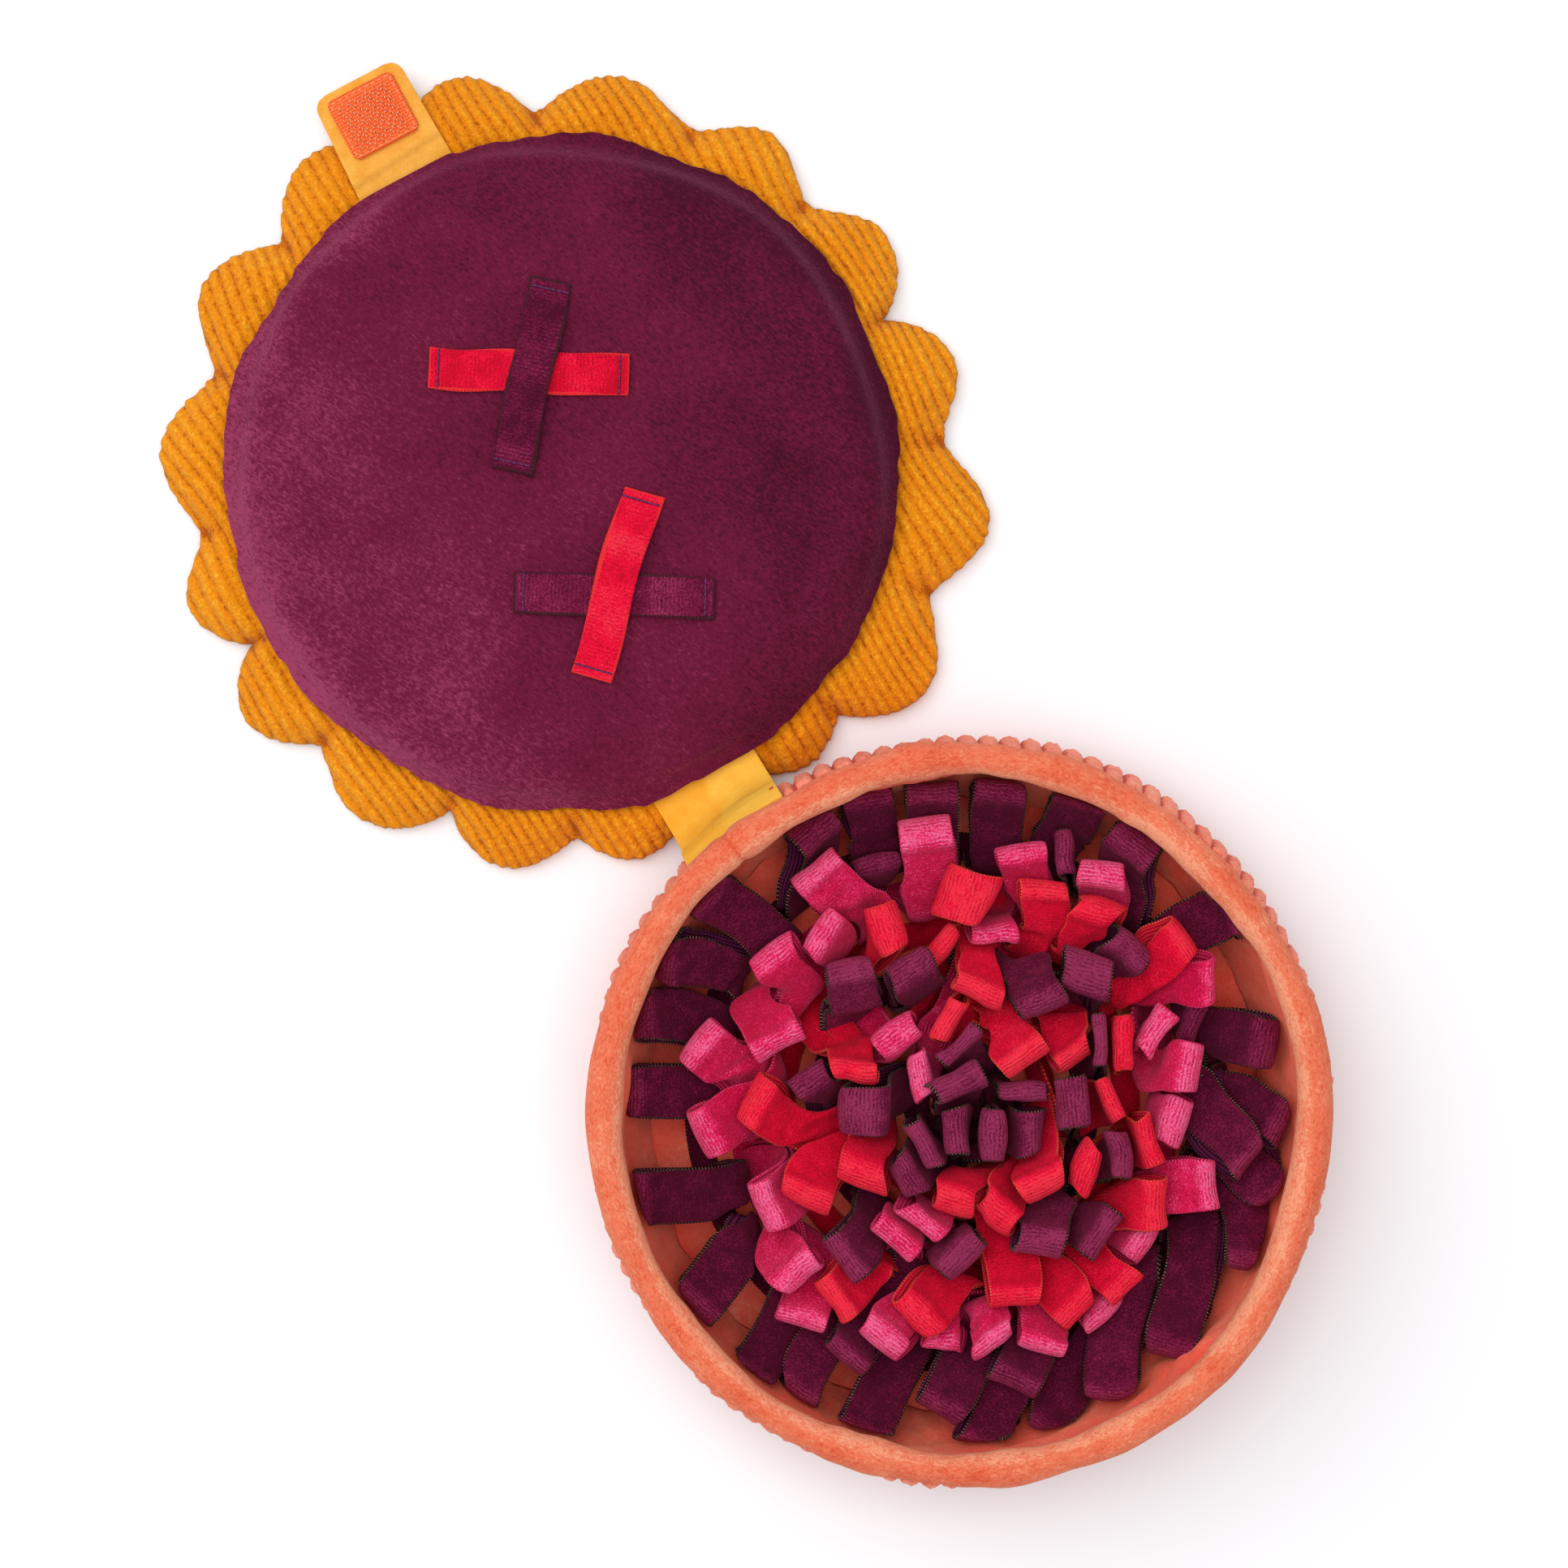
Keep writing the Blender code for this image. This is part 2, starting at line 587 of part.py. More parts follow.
bowl_frame = make_empty("bowl", (0, 0, 0))
lid_frame = make_empty("lid_hinge", (0, hinge_y, hinge_z))
lid_place = (0, lid_y - hinge_y, -hinge_z)
fold_x = -fold_radius * math.sin(TAB_TURN)
fold_y = lid_place[1] + fold_radius * math.cos(TAB_TURN)
tab_frame = make_empty("tab_fold", (fold_x, fold_y, felt_bottom + FELT - hinge_z), lid_frame, TAB_TURN)

make_base(bowl_frame)
make_wall(bowl_frame)
make_rim(bowl_frame)
for ring_number, ring in enumerate(LOOP_RING_SHARES):
    make_loop_ring(bowl_frame, ring_number, *ring)
make_crust(lid_frame, lid_place)
make_pad(lid_frame, lid_place)
make_crosses(lid_frame, lid_place)
make_strap(bowl_frame, lid_frame)
make_tab(lid_frame, lid_place, tab_frame)
bpy.context.view_layer.update()
print("lid hinge axis at y %.5f z %.5f" % (hinge_y, hinge_z))
print("tab fold axis at x %.7f y %.7f z %.7f" % tuple(tab_frame.matrix_world.translation))
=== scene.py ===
import math

import bpy
import numpy as np
from mathutils import Matrix, Vector
from mathutils.bvhtree import BVHTree


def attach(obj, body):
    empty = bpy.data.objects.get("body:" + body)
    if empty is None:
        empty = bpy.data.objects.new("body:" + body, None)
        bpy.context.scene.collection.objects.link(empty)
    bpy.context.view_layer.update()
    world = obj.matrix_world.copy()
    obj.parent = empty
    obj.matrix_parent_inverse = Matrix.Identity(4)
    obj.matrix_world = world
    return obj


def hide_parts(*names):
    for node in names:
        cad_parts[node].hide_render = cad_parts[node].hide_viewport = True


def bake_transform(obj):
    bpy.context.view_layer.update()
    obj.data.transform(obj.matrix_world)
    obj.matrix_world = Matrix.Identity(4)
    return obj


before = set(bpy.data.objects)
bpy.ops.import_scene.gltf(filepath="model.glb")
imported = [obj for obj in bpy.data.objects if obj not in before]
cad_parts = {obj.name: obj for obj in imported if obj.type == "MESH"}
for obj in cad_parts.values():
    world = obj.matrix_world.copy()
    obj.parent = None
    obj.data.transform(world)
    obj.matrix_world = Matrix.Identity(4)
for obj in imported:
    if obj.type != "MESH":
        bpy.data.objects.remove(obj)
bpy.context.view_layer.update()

mm = 0.001
tau = 2 * math.pi
photoTurn = 31.9                                          # degrees from the photo's right to X
turnOfPhoto = -math.radians(photoTurn)


# small helpers
def paint(red, green, blue):
    # screen values 0-255 to the linear ones that the shader takes
    return tuple((c / 255) ** 2.2 for c in (red, green, blue)) + (1.0,)


def deselectAll():
    if bpy.context.object and bpy.context.object.mode != "OBJECT":
        bpy.ops.object.mode_set(mode="OBJECT")
    bpy.ops.object.select_all(action="DESELECT")


def choose(piece):
    deselectAll()
    piece.select_set(True)
    bpy.context.view_layer.objects.active = piece


def pointsOf(piece):
    flat = np.empty(len(piece.data.vertices) * 3)
    piece.data.vertices.foreach_get("co", flat)
    return flat.reshape(-1, 3)


def movePoints(piece, places):
    piece.data.vertices.foreach_set("co", np.asarray(places, dtype=float).ravel())
    piece.data.update()


def putValues(piece, name, values):
    layer = piece.data.attributes.new(name, "FLOAT", "POINT")
    layer.data.foreach_set("value", np.asarray(values, dtype=float))


def weld(piece, distance=2e-5, outward=True):
    choose(piece)
    bpy.ops.object.mode_set(mode="EDIT")
    bpy.ops.mesh.select_all(action="SELECT")
    bpy.ops.mesh.remove_doubles(threshold=distance)
    if outward:
        bpy.ops.mesh.normals_make_consistent(inside=False)
    bpy.ops.object.mode_set(mode="OBJECT")


def addObject(name, data):
    piece = bpy.data.objects.new(name, data)
    bpy.context.scene.collection.objects.link(piece)
    return piece


def meshPiece(name, vertices, faces):
    mesh = bpy.data.meshes.new(name)
    mesh.from_pydata(vertices, [], faces)
    return addObject(name, mesh)


def gridPiece(name, columns, rows, shape):
    # a flat grid, whose points a formula takes to their places and may mark with values
    deselectAll()
    bpy.ops.mesh.primitive_grid_add(x_subdivisions=columns, y_subdivisions=rows, size=1)
    piece = bpy.context.object
    piece.name = piece.data.name = name
    flat = pointsOf(piece)
    x, y, z, *marks = shape(flat[:, 0] + 0.5, flat[:, 1] + 0.5)
    movePoints(piece, np.stack((x, y, z), axis=1))
    for mark, values in dict(*marks).items():
        putValues(piece, mark, values)
    return piece


def modify(piece, kind, **settings):
    choose(piece)
    modifier = piece.modifiers.new(kind.lower(), kind)
    for name, value in settings.items():
        setattr(modifier, name, value)
    bpy.ops.object.modifier_apply(modifier=modifier.name)
    return piece


def thicken(piece, thickness, offset=-1, backing=0, edge=0):
    return modify(piece, "SOLIDIFY", thickness=thickness, offset=offset, use_even_offset=False,
                  material_offset=backing, material_offset_rim=edge)


def subdivide(piece, levels=1):
    return modify(piece, "SUBSURF", levels=levels, render_levels=levels)


def softenEdges(piece, width):
    modify(piece, "BEVEL", width=width, segments=2, limit_method="ANGLE",
           angle_limit=math.radians(50))


def ripples(seed, size, *axes, waves=10):
    # smooth random swell of about unit height; size is the length of its waves
    picks = np.random.default_rng(seed)
    total = 0.0
    for _ in range(waves):
        heading = picks.normal(size=len(axes))
        heading /= np.linalg.norm(heading)
        length = size * picks.uniform(0.7, 1.6)
        phase = picks.uniform(0, tau)
        along = sum(h * a for h, a in zip(heading, axes))
        total = total + np.sin(along * tau / length + phase)
    return total / math.sqrt(waves / 2)


def smoothStep(value, low, high):
    share = np.clip((value - low) / (high - low), 0, 1)
    return share * share * (3 - 2 * share)


def hump(value, width):
    return np.exp(-(value / width) ** 2)


def turnFrom(angle, middle):
    # degrees from a middle direction, -180 to 180
    return (angle - middle + 180) % 360 - 180


def around(radius, angle, z, middle=(0.0, 0.0)):
    return middle[0] + radius * np.cos(angle), middle[1] + radius * np.sin(angle), z


def settle(piece, body, finish, slot, *nodes):
    # last steps of a piece with one finish
    piece.data.materials.append(finish)
    piece.data.shade_smooth()
    if body:
        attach(piece, body)
    if nodes:
        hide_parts(*nodes)
    return piece


def closeUp(piece, body, finish, slot, *nodes, outward=False, thickness=0.0):
    # joins the grid's ends and gives the sheet its thickness
    weld(piece, outward=outward)
    if thickness:
        thicken(piece, thickness)
    return settle(piece, body, finish, slot, *nodes)


# shader maths
class Wire:
    def __init__(self, finish, socket):
        self.finish, self.socket = finish, socket

    def maths(self, operation, *values):
        sockets = dict(enumerate(values))
        return self.finish.add("ShaderNodeMath", {"operation": operation}, sockets)

    def __add__(self, other): return self.maths("ADD", self, other)
    def __sub__(self, other): return self.maths("SUBTRACT", self, other)
    def __rsub__(self, other): return self.maths("SUBTRACT", other, self)
    def __mul__(self, other): return self.maths("MULTIPLY", self, other)
    def __pow__(self, other): return self.maths("POWER", self, other)
    def __abs__(self): return self.maths("ABSOLUTE", self)
    def sine(self): return self.maths("SINE", self)
    def least(self, other): return self.maths("MINIMUM", self, other)

    def between(self, low, high):
        # 0 below low, 1 above high, smooth in between
        return self.finish.add("ShaderNodeMapRange", {"interpolation_type": "SMOOTHSTEP"},
                               {"Value": self, "From Min": low, "From Max": high})


class Finish:
    def __init__(self, name, fixed):
        self.material = bpy.data.materials.new(name)
        self.material.use_nodes = True
        self.tree = self.material.node_tree
        self.shader = self.tree.nodes["Principled BSDF"]
        for socket, value in fixed.items():
            self.shader.inputs[socket].default_value = value
        self.place = self.add("ShaderNodeTexCoord", out="Object")

    def add(self, kind, settings=None, sockets=None, out=0):
        node = self.tree.nodes.new(kind)
        for name, value in (settings or {}).items():
            setattr(node, name, value)
        for name, value in (sockets or {}).items():
            if isinstance(value, Wire):
                self.tree.links.new(value.socket, node.inputs[name])
            else:
                node.inputs[name].default_value = value
        return Wire(self, node.outputs[out])

    def noise(self, size, detail=2, rough=0.5, place=None, warp=0.0):
        # size is the length of the pattern's features in metres
        return self.add("ShaderNodeTexNoise", None, {
            "Vector": place or self.place, "Scale": 1 / size, "Detail": detail,
            "Roughness": rough, "Distortion": warp})

    def turned(self, turn):
        # object coordinates turned about Z
        return self.add("ShaderNodeMapping", {"vector_type": "TEXTURE"}, {
            "Vector": self.place, "Rotation": (0, 0, turn)})

    def scaled(self, place, sizes, operation="MULTIPLY"):
        return self.add("ShaderNodeVectorMath", {"operation": operation}, {0: place, 1: sizes})

    def value(self, name):
        return self.add("ShaderNodeAttribute", {"attribute_name": name}, out="Fac")

    def lines(self, name, pitch):
        # 0 to 1 over each thread of that pitch along a stored length
        return (self.value(name) * (tau / pitch)).sine() * 0.5 + 0.5

    def blend(self, first, second, share):
        sockets = {0: share, 6: first, 7: second}
        return self.add("ShaderNodeMix", {"data_type": "RGBA"}, sockets, out=2)

    def tones(self, look, share, low, high):
        # deep to middle to light colour, over two ranges of the share
        colour = self.blend(look["deep"], look["mid"], share.between(*low))
        return self.blend(colour, look["light"], share.between(*high))

    def dress(self, colour, height=None, distance=0.0, strength=0.0):
        self.tree.links.new(colour.socket, self.shader.inputs["Base Color"])
        if height:
            raised = self.add("ShaderNodeBump", None, {
                "Height": height, "Distance": distance, "Strength": strength})
            self.tree.links.new(raised.socket, self.shader.inputs["Normal"])
        return self.material


def pileFinish(name, look):
    return Finish(name, {
        "Roughness": 0.9, "Specular IOR Level": 0.15, "Sheen Weight": look["sheenWeight"],
        "Sheen Roughness": 0.45, "Sheen Tint": look["sheen"]})


def flatFinish(name, roughness, specular):
    return Finish(name, {"Roughness": roughness, "Specular IOR Level": specular})


def shades(deep, mid, light, sheen, weight):
    colours = {"deep": deep, "mid": mid, "light": light, "sheen": sheen}
    return {**{name: paint(*colour) for name, colour in colours.items()}, "sheenWeight": weight}


# finishes
ribPitch, edgeStitch = 0.00135, 0.0013


def velourFinish(name, look):
    # cut-pile ribbon: deep on its flat runs, ribbed where it bends, with painted sheen making the
    # bends paler and painted shade between their ribs
    finish = pileFinish(name, look)
    along, across = finish.value("along"), finish.value("across")
    bend, tone = finish.value("bend"), finish.value("tone")
    grain = finish.noise(0.0007, 3, 0.7)
    mottle = finish.noise(0.006, 3, 0.55)
    wobble = (finish.noise(0.004, 2) - 0.5) * 0.0018
    broken = finish.noise(0.0035, 2, 0.6).between(0.36, 0.60)
    ribs = ((along + wobble) * (tau / ribPitch)).sine() * 0.5 + 0.5
    ribs = (ribs - 0.5) * broken + 0.5
    # painted sheen: the bends are painted paler, and painted shade darkens them between the ribs
    turned = bend.between(0.30, 0.85)
    toneAndSheen = turned * 0.60 + (mottle - 0.5) * 1.1 + (grain - 0.5) * 2.8
    toneAndSheen = toneAndSheen + (ribs - 0.5) * (turned * 0.36 + 0.16) + tone * 0.35
    colour = finish.tones(look, toneAndSheen, (-0.25, 0.40), (0.30, 1.05))
    colour = finish.blend(colour, look["deep"], (1 - ribs) * turned * 0.30)
    stitches = (along * (tau / edgeStitch)).sine() * 0.25 + 0.75
    edge = abs(across).between(look["edgeStart"], look["edgeStart"] + 0.06)
    edge = edge * stitches * (grain * 0.8 + 0.8)
    colour = finish.blend(colour, look["edge"], edge.least(1.0))
    height = ribs * (turned * 0.45 + 0.15) + grain * 0.70 + mottle * 0.3
    return finish.dress(colour, height, 0.0008, 0.9)


def backingFinish(name, colour, dark):
    # knitted back of the ribbon: fine lines along its length
    finish = flatFinish(name, 0.95, 0.1)
    lines, rows = finish.lines("across", 2 / 13), finish.lines("along", 0.0011)
    share = (lines * 0.6 + rows * 0.25 + finish.noise(0.002, 2) * 0.3).between(0.1, 0.95)
    return finish.dress(finish.blend(dark, colour, share), lines + rows * 0.4, 0.0003, 0.7)


def selvedgeFinish(name, colour, fleck):
    # overlocked ribbon edge with stray pale ends
    finish = flatFinish(name, 0.9, 0.15)
    stitches, specks = finish.lines("along", 0.0012), finish.noise(0.0008, 2, 0.7)
    share = (stitches * specks * 2.2).between(0.62, 1.2)
    return finish.dress(finish.blend(colour, fleck, share), stitches + specks * 0.5, 0.0004, 0.8)


def pileShare(finish, look, fine, coarse, patch):
    return (fine - 0.5) * look["fineShare"] + (coarse - 0.5) * look["coarseShare"] \
        + (patch - 0.5) * look["patchShare"] + finish.value("tone") * 0.5 + 0.5


def plushFinish(name, look):
    # soft pile fabric, brushed into patches
    finish = pileFinish(name, look)
    nap = finish.scaled(finish.turned(look["napTurn"]), look["nap"], "DIVIDE")
    fibres = finish.noise(1.0, 3, 0.7, place=nap, warp=0.3)
    tufts = finish.noise(look["tuft"], 4, 0.65, warp=0.6)
    share = pileShare(finish, look, fibres, tufts, finish.noise(look["patch"], 3, 0.5, warp=0.4))
    colour = finish.tones(look, share, (-0.05, 0.55), (0.5, 1.15))
    return finish.dress(colour, fibres + tufts * 0.5, look["relief"], 0.9)


def combedFinish(name, look):
    # pile combed along a roll or round a wall, on the piece's own UV map in metres
    finish = pileFinish(name, look)
    uv = finish.add("ShaderNodeUVMap", {"uv_map": "UVMap"})
    strand = finish.noise(1.0, 4, 0.65, place=finish.scaled(uv, look["strand"]), warp=0.8)
    lock = finish.noise(1.0, 4, 0.6, place=finish.scaled(uv, look["lock"]), warp=1.2)
    share = pileShare(finish, look, strand, lock, finish.noise(look["patch"], 3, 0.55, warp=0.5))
    colour = finish.tones(look, share, (0.05, 0.52), (0.5, 0.98))
    return finish.dress(colour, strand * 0.6 + lock * 0.7, look["relief"], 0.9)


def corduroyFinish(name, look):
    # wide wales: the pile is ropey along each wale; painted shade darkens the channels, the
    # valleys' creases and, with the pile's own tone, the gaps between the ropes' knots
    finish = pileFinish(name, look)
    wale = abs((finish.value("phase") * math.pi).sine()) ** 0.8
    broken = finish.noise(0.0026, 2, 0.6).between(0.32, 0.62)
    groove = (1 - wale) * (broken * 0.32 + 0.50)
    knots = finish.scaled(finish.turned(look["turn"]), look["knot"])
    ropes = finish.noise(1.0, 3, 0.65, place=knots, warp=0.5)
    fibres = finish.noise(0.0008, 3, 0.7)
    share = 0.76 - groove * 0.76 - finish.value("crease") * 0.6 + (ropes - 0.5) * 1.7
    share = share + (fibres - 0.5) * 0.8 + (finish.noise(0.022, 3, 0.5) - 0.5) * 0.5
    colour = finish.tones(look, share, (-0.05, 0.55), (0.55, 1.30))
    return finish.dress(colour, wale * 0.7 + ropes * 1.1 + fibres * 0.5, look["relief"], 0.9)


def feltFinish(name, deep, light):
    # pressed wool: matted short fibres
    finish = Finish(name, {"Roughness": 0.95, "Specular IOR Level": 0.15, "Sheen Weight": 0.15,
                           "Sheen Roughness": 0.5, "Sheen Tint": light})
    fibres = finish.noise(0.0011, 5, 0.75, warp=2.5)
    share = (fibres - 0.5) * 1.3 + (finish.noise(0.007, 3, 0.5) - 0.5) * 0.9
    share = (share + finish.value("tone") * 0.5 + 0.5).between(0.0, 1.0)
    return finish.dress(finish.blend(deep, light, share), fibres, 0.0005, 0.6)


def foamFinish(name, colour, shade, cell):
    finish = flatFinish(name, 0.95, 0.2)
    cells = finish.add("ShaderNodeTexVoronoi", None, {"Vector": finish.place, "Scale": 1 / cell})
    return finish.dress(finish.blend(shade, colour, cells.between(0.05, 0.6)), cells, 0.0005, 0.5)


def hookTapeFinish(name, ground, bright):
    # woven ground under the hooks
    finish = flatFinish(name, 0.55, 0.4)
    warpLines, weftLines = finish.lines("side", 0.0009), finish.lines("reach", 0.0011)
    share = warpLines * 0.4 + weftLines * 0.5 + (finish.noise(0.0006, 2) - 0.5) * 0.6
    colour = finish.blend(ground, bright, share.between(0.1, 0.9))
    return finish.dress(colour, warpLines * 0.6 + weftLines, 0.0003, 0.8)


def threadFinish(name, colour, dark):
    finish = flatFinish(name, 0.45, 0.45)
    twist = finish.noise(0.0005, 2)
    return finish.dress(finish.blend(dark, colour, twist.between(0.3, 0.6)), twist, 0.0001, 0.5)


# each ribbon: its velour, where its edge starts, and the colours of edge, backing and selvedge
ribbonLooks = {
    "dark": {**shades((72, 8, 38), (108, 22, 58), (150, 50, 88), (200, 84, 116), 0.24),
             "edgeStart": 0.93, "edge": paint(56, 32, 36),
             "backing": (paint(104, 38, 74), paint(40, 8, 28)),
             "selvedge": (paint(36, 20, 22), paint(150, 120, 100))},
    "pink": {**shades((184, 2, 54), (222, 30, 90), (246, 108, 156), (255, 130, 180), 0.30),
             "edgeStart": 0.95, "edge": paint(214, 30, 84),
             "backing": (paint(214, 50, 96), paint(140, 8, 48)),
             "selvedge": (paint(206, 28, 80), paint(240, 110, 150))},
    "red": {**shades((186, 0, 38), (226, 4, 54), (242, 54, 72), (255, 80, 100), 0.16),
            "edgeStart": 0.95, "edge": paint(226, 50, 50),
            "backing": (paint(222, 40, 62), paint(150, 4, 28)),
            "selvedge": (paint(222, 40, 48), paint(244, 120, 96))},
}
ribbonFinishes = {colour: [velourFinish(colour + "Velour", look),
                           backingFinish(colour + "Backing", *look["backing"]),
                           selvedgeFinish(colour + "Selvedge", *look["selvedge"])]
                  for colour, look in ribbonLooks.items()}
purplePlush = plushFinish("purplePlush", {
    **shades((66, 8, 33), (103, 24, 54), (150, 60, 92), (210, 110, 160), 0.35),
    "nap": (0.0019, 0.0008, 0.0012), "napTurn": math.radians(-67), "tuft": 0.0022, "patch": 0.038,
    "fineShare": 1.4, "coarseShare": 0.7, "patchShare": 0.7, "relief": 0.0008})
liningPlush = plushFinish("liningPlush", {
    **shades((252, 72, 58), (254, 104, 84), (254, 152, 122), (255, 140, 110), 0.8),
    "nap": (0.0014, 0.0008, 0.0014), "napTurn": 0.3, "tuft": 0.003, "patch": 0.026,
    "fineShare": 0.7, "coarseShare": 0.9, "patchShare": 1.6, "relief": 0.0006})
coralPlush = combedFinish("coralPlush", {
    **shades((214, 82, 52), (230, 114, 82), (242, 156, 120), (255, 210, 180), 0.3),
    "strand": (800.0, 1300.0, 1.0), "lock": (260.0, 460.0, 1.0), "patch": 0.020,
    "fineShare": 1.5, "coarseShare": 1.1, "patchShare": 0.8, "relief": 0.0009})
salmonPlush = combedFinish("salmonPlush", {
    **shades((206, 62, 48), (248, 134, 108), (254, 182, 152), (255, 200, 180), 0.3),
    "strand": (1300.0, 420.0, 1.0), "lock": (420.0, 160.0, 1.0), "patch": 0.022,
    "fineShare": 0.9, "coarseShare": 1.0, "patchShare": 0.6, "relief": 0.0006})
waleTurn = math.radians(-1.9)
mustardCorduroy = corduroyFinish("mustardCorduroy", {
    **shades((180, 84, 2), (232, 134, 12), (254, 178, 46), (255, 214, 120), 0.3),
    "turn": waleTurn, "knot": (760.0, 640.0, 640.0), "relief": 0.0010})
strapFelt = feltFinish("strapFelt", paint(250, 166, 46), paint(255, 198, 80))
tabFelt = feltFinish("tabFelt", paint(226, 146, 44), paint(250, 184, 88))
hookGround = hookTapeFinish("hookGround", paint(232, 74, 26), paint(252, 124, 56))
hookGloss = threadFinish("hookGloss", paint(255, 176, 128), paint(246, 112, 62))
purpleThread = threadFinish("purpleThread", paint(92, 26, 84), paint(48, 8, 42))
redThread = threadFinish("redThread", paint(206, 40, 30), paint(150, 20, 16))
whiteFoam = foamFinish("whiteFoam", paint(240, 238, 230), paint(214, 210, 200), 0.0016)
whiteWadding = foamFinish("whiteWadding", paint(244, 243, 240), paint(222, 220, 216), 0.004)
print("finishes made")

# camera
camera = {"place": (0.0083, 0.1260, 1.300), "lens": 84.8, "pixels": 1932, "pixelsPerMm": 3.5}
cameraData = bpy.data.cameras.new("camera")
cameraData.lens, cameraData.sensor_width = camera["lens"], 36
cameraData.clip_start, cameraData.clip_end = 0.01, 20
cameraObject = addObject("camera", cameraData)
cameraObject.location = camera["place"]
cameraObject.rotation_euler = (0, 0, turnOfPhoto)
bpy.context.scene.camera = cameraObject


def fromPhoto(px, py, z):
    # pixel of the photo to X and Y on a level plane at height z, all in metres
    near = (1 - z / camera["place"][2]) / camera["pixelsPerMm"] * mm
    right, up = (px - camera["pixels"] / 2) * near, (camera["pixels"] / 2 - py) * near
    c, s = math.cos(turnOfPhoto), math.sin(turnOfPhoto)
    return camera["place"][0] + c * right - s * up, camera["place"][1] + s * right + c * up


# bowl: base, wall, lining and rim
bowl = {"footRadius": 0.1216, "bulge": 0.0025, "ribs": 108, "ribDepth": 0.0026, "grooveShade": -1.6,
        "wallLow": 0.0019, "wallHigh": 0.0625, "cloth": 0.0010, "seamAngle": math.radians(98.4),
        "endTuck": 0.0009, "wave": 0.0004, "knobs": 0.10,
        # photo angle and width in degrees of the side that leans out, and by how much
        "leanMiddle": 66, "leanWidth": 30, "leanOut": 0.0026}
strap = {"width": 0.0395, "offset": -0.014, "thickness": 0.0019, "hingeY": 0.1293,
         "hingeZ": 0.04485, "wallTop": 0.0590, "fromWall": 0.0029, "bend": 0.013, "slack": 0.0013,
         "feltMiddle": 0.0130, "runEnd": 0.1466, "ridge": 0.0003, "crease": -0.0150,
         "blendReach": 0.006}


def wallRadius(z):
    share = np.clip((z - bowl["wallLow"]) / (bowl["wallHigh"] - bowl["wallLow"]), 0, 1)
    return bowl["footRadius"] + bowl["bulge"] * np.sin(math.pi * share)


def scaleUv(piece, width, height):
    # UV map in metres
    layer = piece.data.uv_layers["UVMap"]
    flat = np.empty(len(layer.data) * 2)
    layer.data.foreach_get("uv", flat)
    layer.data.foreach_set("uv", (flat.reshape(-1, 2) * (width, height)).ravel())


def ribbedWall(u, v):
    angle = bowl["seamAngle"] + u * tau
    z = bowl["wallLow"] + (bowl["wallHigh"] - bowl["wallLow"]) * v
    ends = np.minimum(smoothStep(v, 0, 0.07), smoothStep(1 - v, 0, 0.06))
    x, y = 0.12 * np.cos(angle), 0.12 * np.sin(angle)
    lean = ripples(3, 0.05, x, y, z) * 0.010
    phase = u * bowl["ribs"] + lean * ends
    rib = np.sqrt(np.clip(1 - (2 * (phase % 1) - 1) ** 2, 0, 1))
    knobs = bowl["knobs"] * ripples(5, 0.006, x * 3, y * 3, z)
    high = bowl["ribDepth"] * rib * (0.75 + 0.25 * ends + knobs * rib)
    radius = wallRadius(z) - bowl["endTuck"] * (1 - ends) + high
    radius = radius + bowl["wave"] * ripples(4, 0.04, x, y, z)
    # the soft wall leans out most where the photo shows its ribs past the rim
    off = turnFrom(np.degrees(angle) + photoTurn, bowl["leanMiddle"])
    radius = radius + bowl["leanOut"] * hump(off, bowl["leanWidth"]) * np.sin(math.pi * v)
    # and the strap, sewn on under the rim, presses the ribs flat
    aside = np.abs(x - strap["offset"]) - strap["width"] / 2
    pressed = (1 - smoothStep(aside, 0, 0.002)) * smoothStep(z, 0.043, 0.054) * (y > 0)
    radius = radius - bowl["ribDepth"] * pressed
    # painted shade: the grooves between the ribs are painted darker
    return *around(radius, angle, z), {"tone": bowl["grooveShade"] * (1 - rib) ** 1.5}


wallCover = gridPiece("wallCover", bowl["ribs"] * 8, 22, ribbedWall)
scaleUv(wallCover, 0.78, 0.058)
closeUp(wallCover, "bowl", salmonPlush, "salmon_rib", "wall_cover", thickness=bowl["cloth"])

lining = {"radius": 0.1160, "low": 0.0076, "high": 0.0610, "foot": 0.0090, "cloth": 0.0009,
          "slack": 0.0011, "grain": 0.0004,
          # photo angle and width in degrees and depth in mm of each of the larger folds
          "folds": ((17, 5.0, 2.6), (6, 4.0, 2.0), (-52, 6.0, 2.8), (-68, 5.0, 2.2),
                    (128, 6.0, 2.0), (178, 5.0, 1.6), (-160, 5.0, 1.6))}


def liningShape(u, v):
    angle = bowl["seamAngle"] + u * tau
    z = lining["low"] + (lining["high"] - lining["low"]) * v
    x, y = 0.115 * np.cos(angle), 0.115 * np.sin(angle)
    free = np.sin(math.pi * np.clip(v, 0, 1)) ** 0.6
    folds = np.clip(ripples(11, 0.045, x, y, z * 0.7), 0, 3) * lining["slack"]
    for place, width, depth in lining["folds"]:
        slant = (z - 0.035) * 500 * math.sin(place)
        off = turnFrom(np.degrees(angle) + photoTurn, place) + slant
        folds = folds + depth * mm * hump(off, width)
    foot = lining["foot"] * (1 - smoothStep(v, 0, 0.55)) * smoothStep(v, 0.0, 0.02)
    radius = lining["radius"] - free * folds - foot - lining["grain"] * ripples(12, 0.012, x, y, z)
    return around(radius, angle, z)


wallLining = gridPiece("wallLining", 420, 34, liningShape)
wallLining.data.flip_normals()
closeUp(wallLining, "bowl", liningPlush, "orange_lining", "wall_lining", thickness=lining["cloth"])


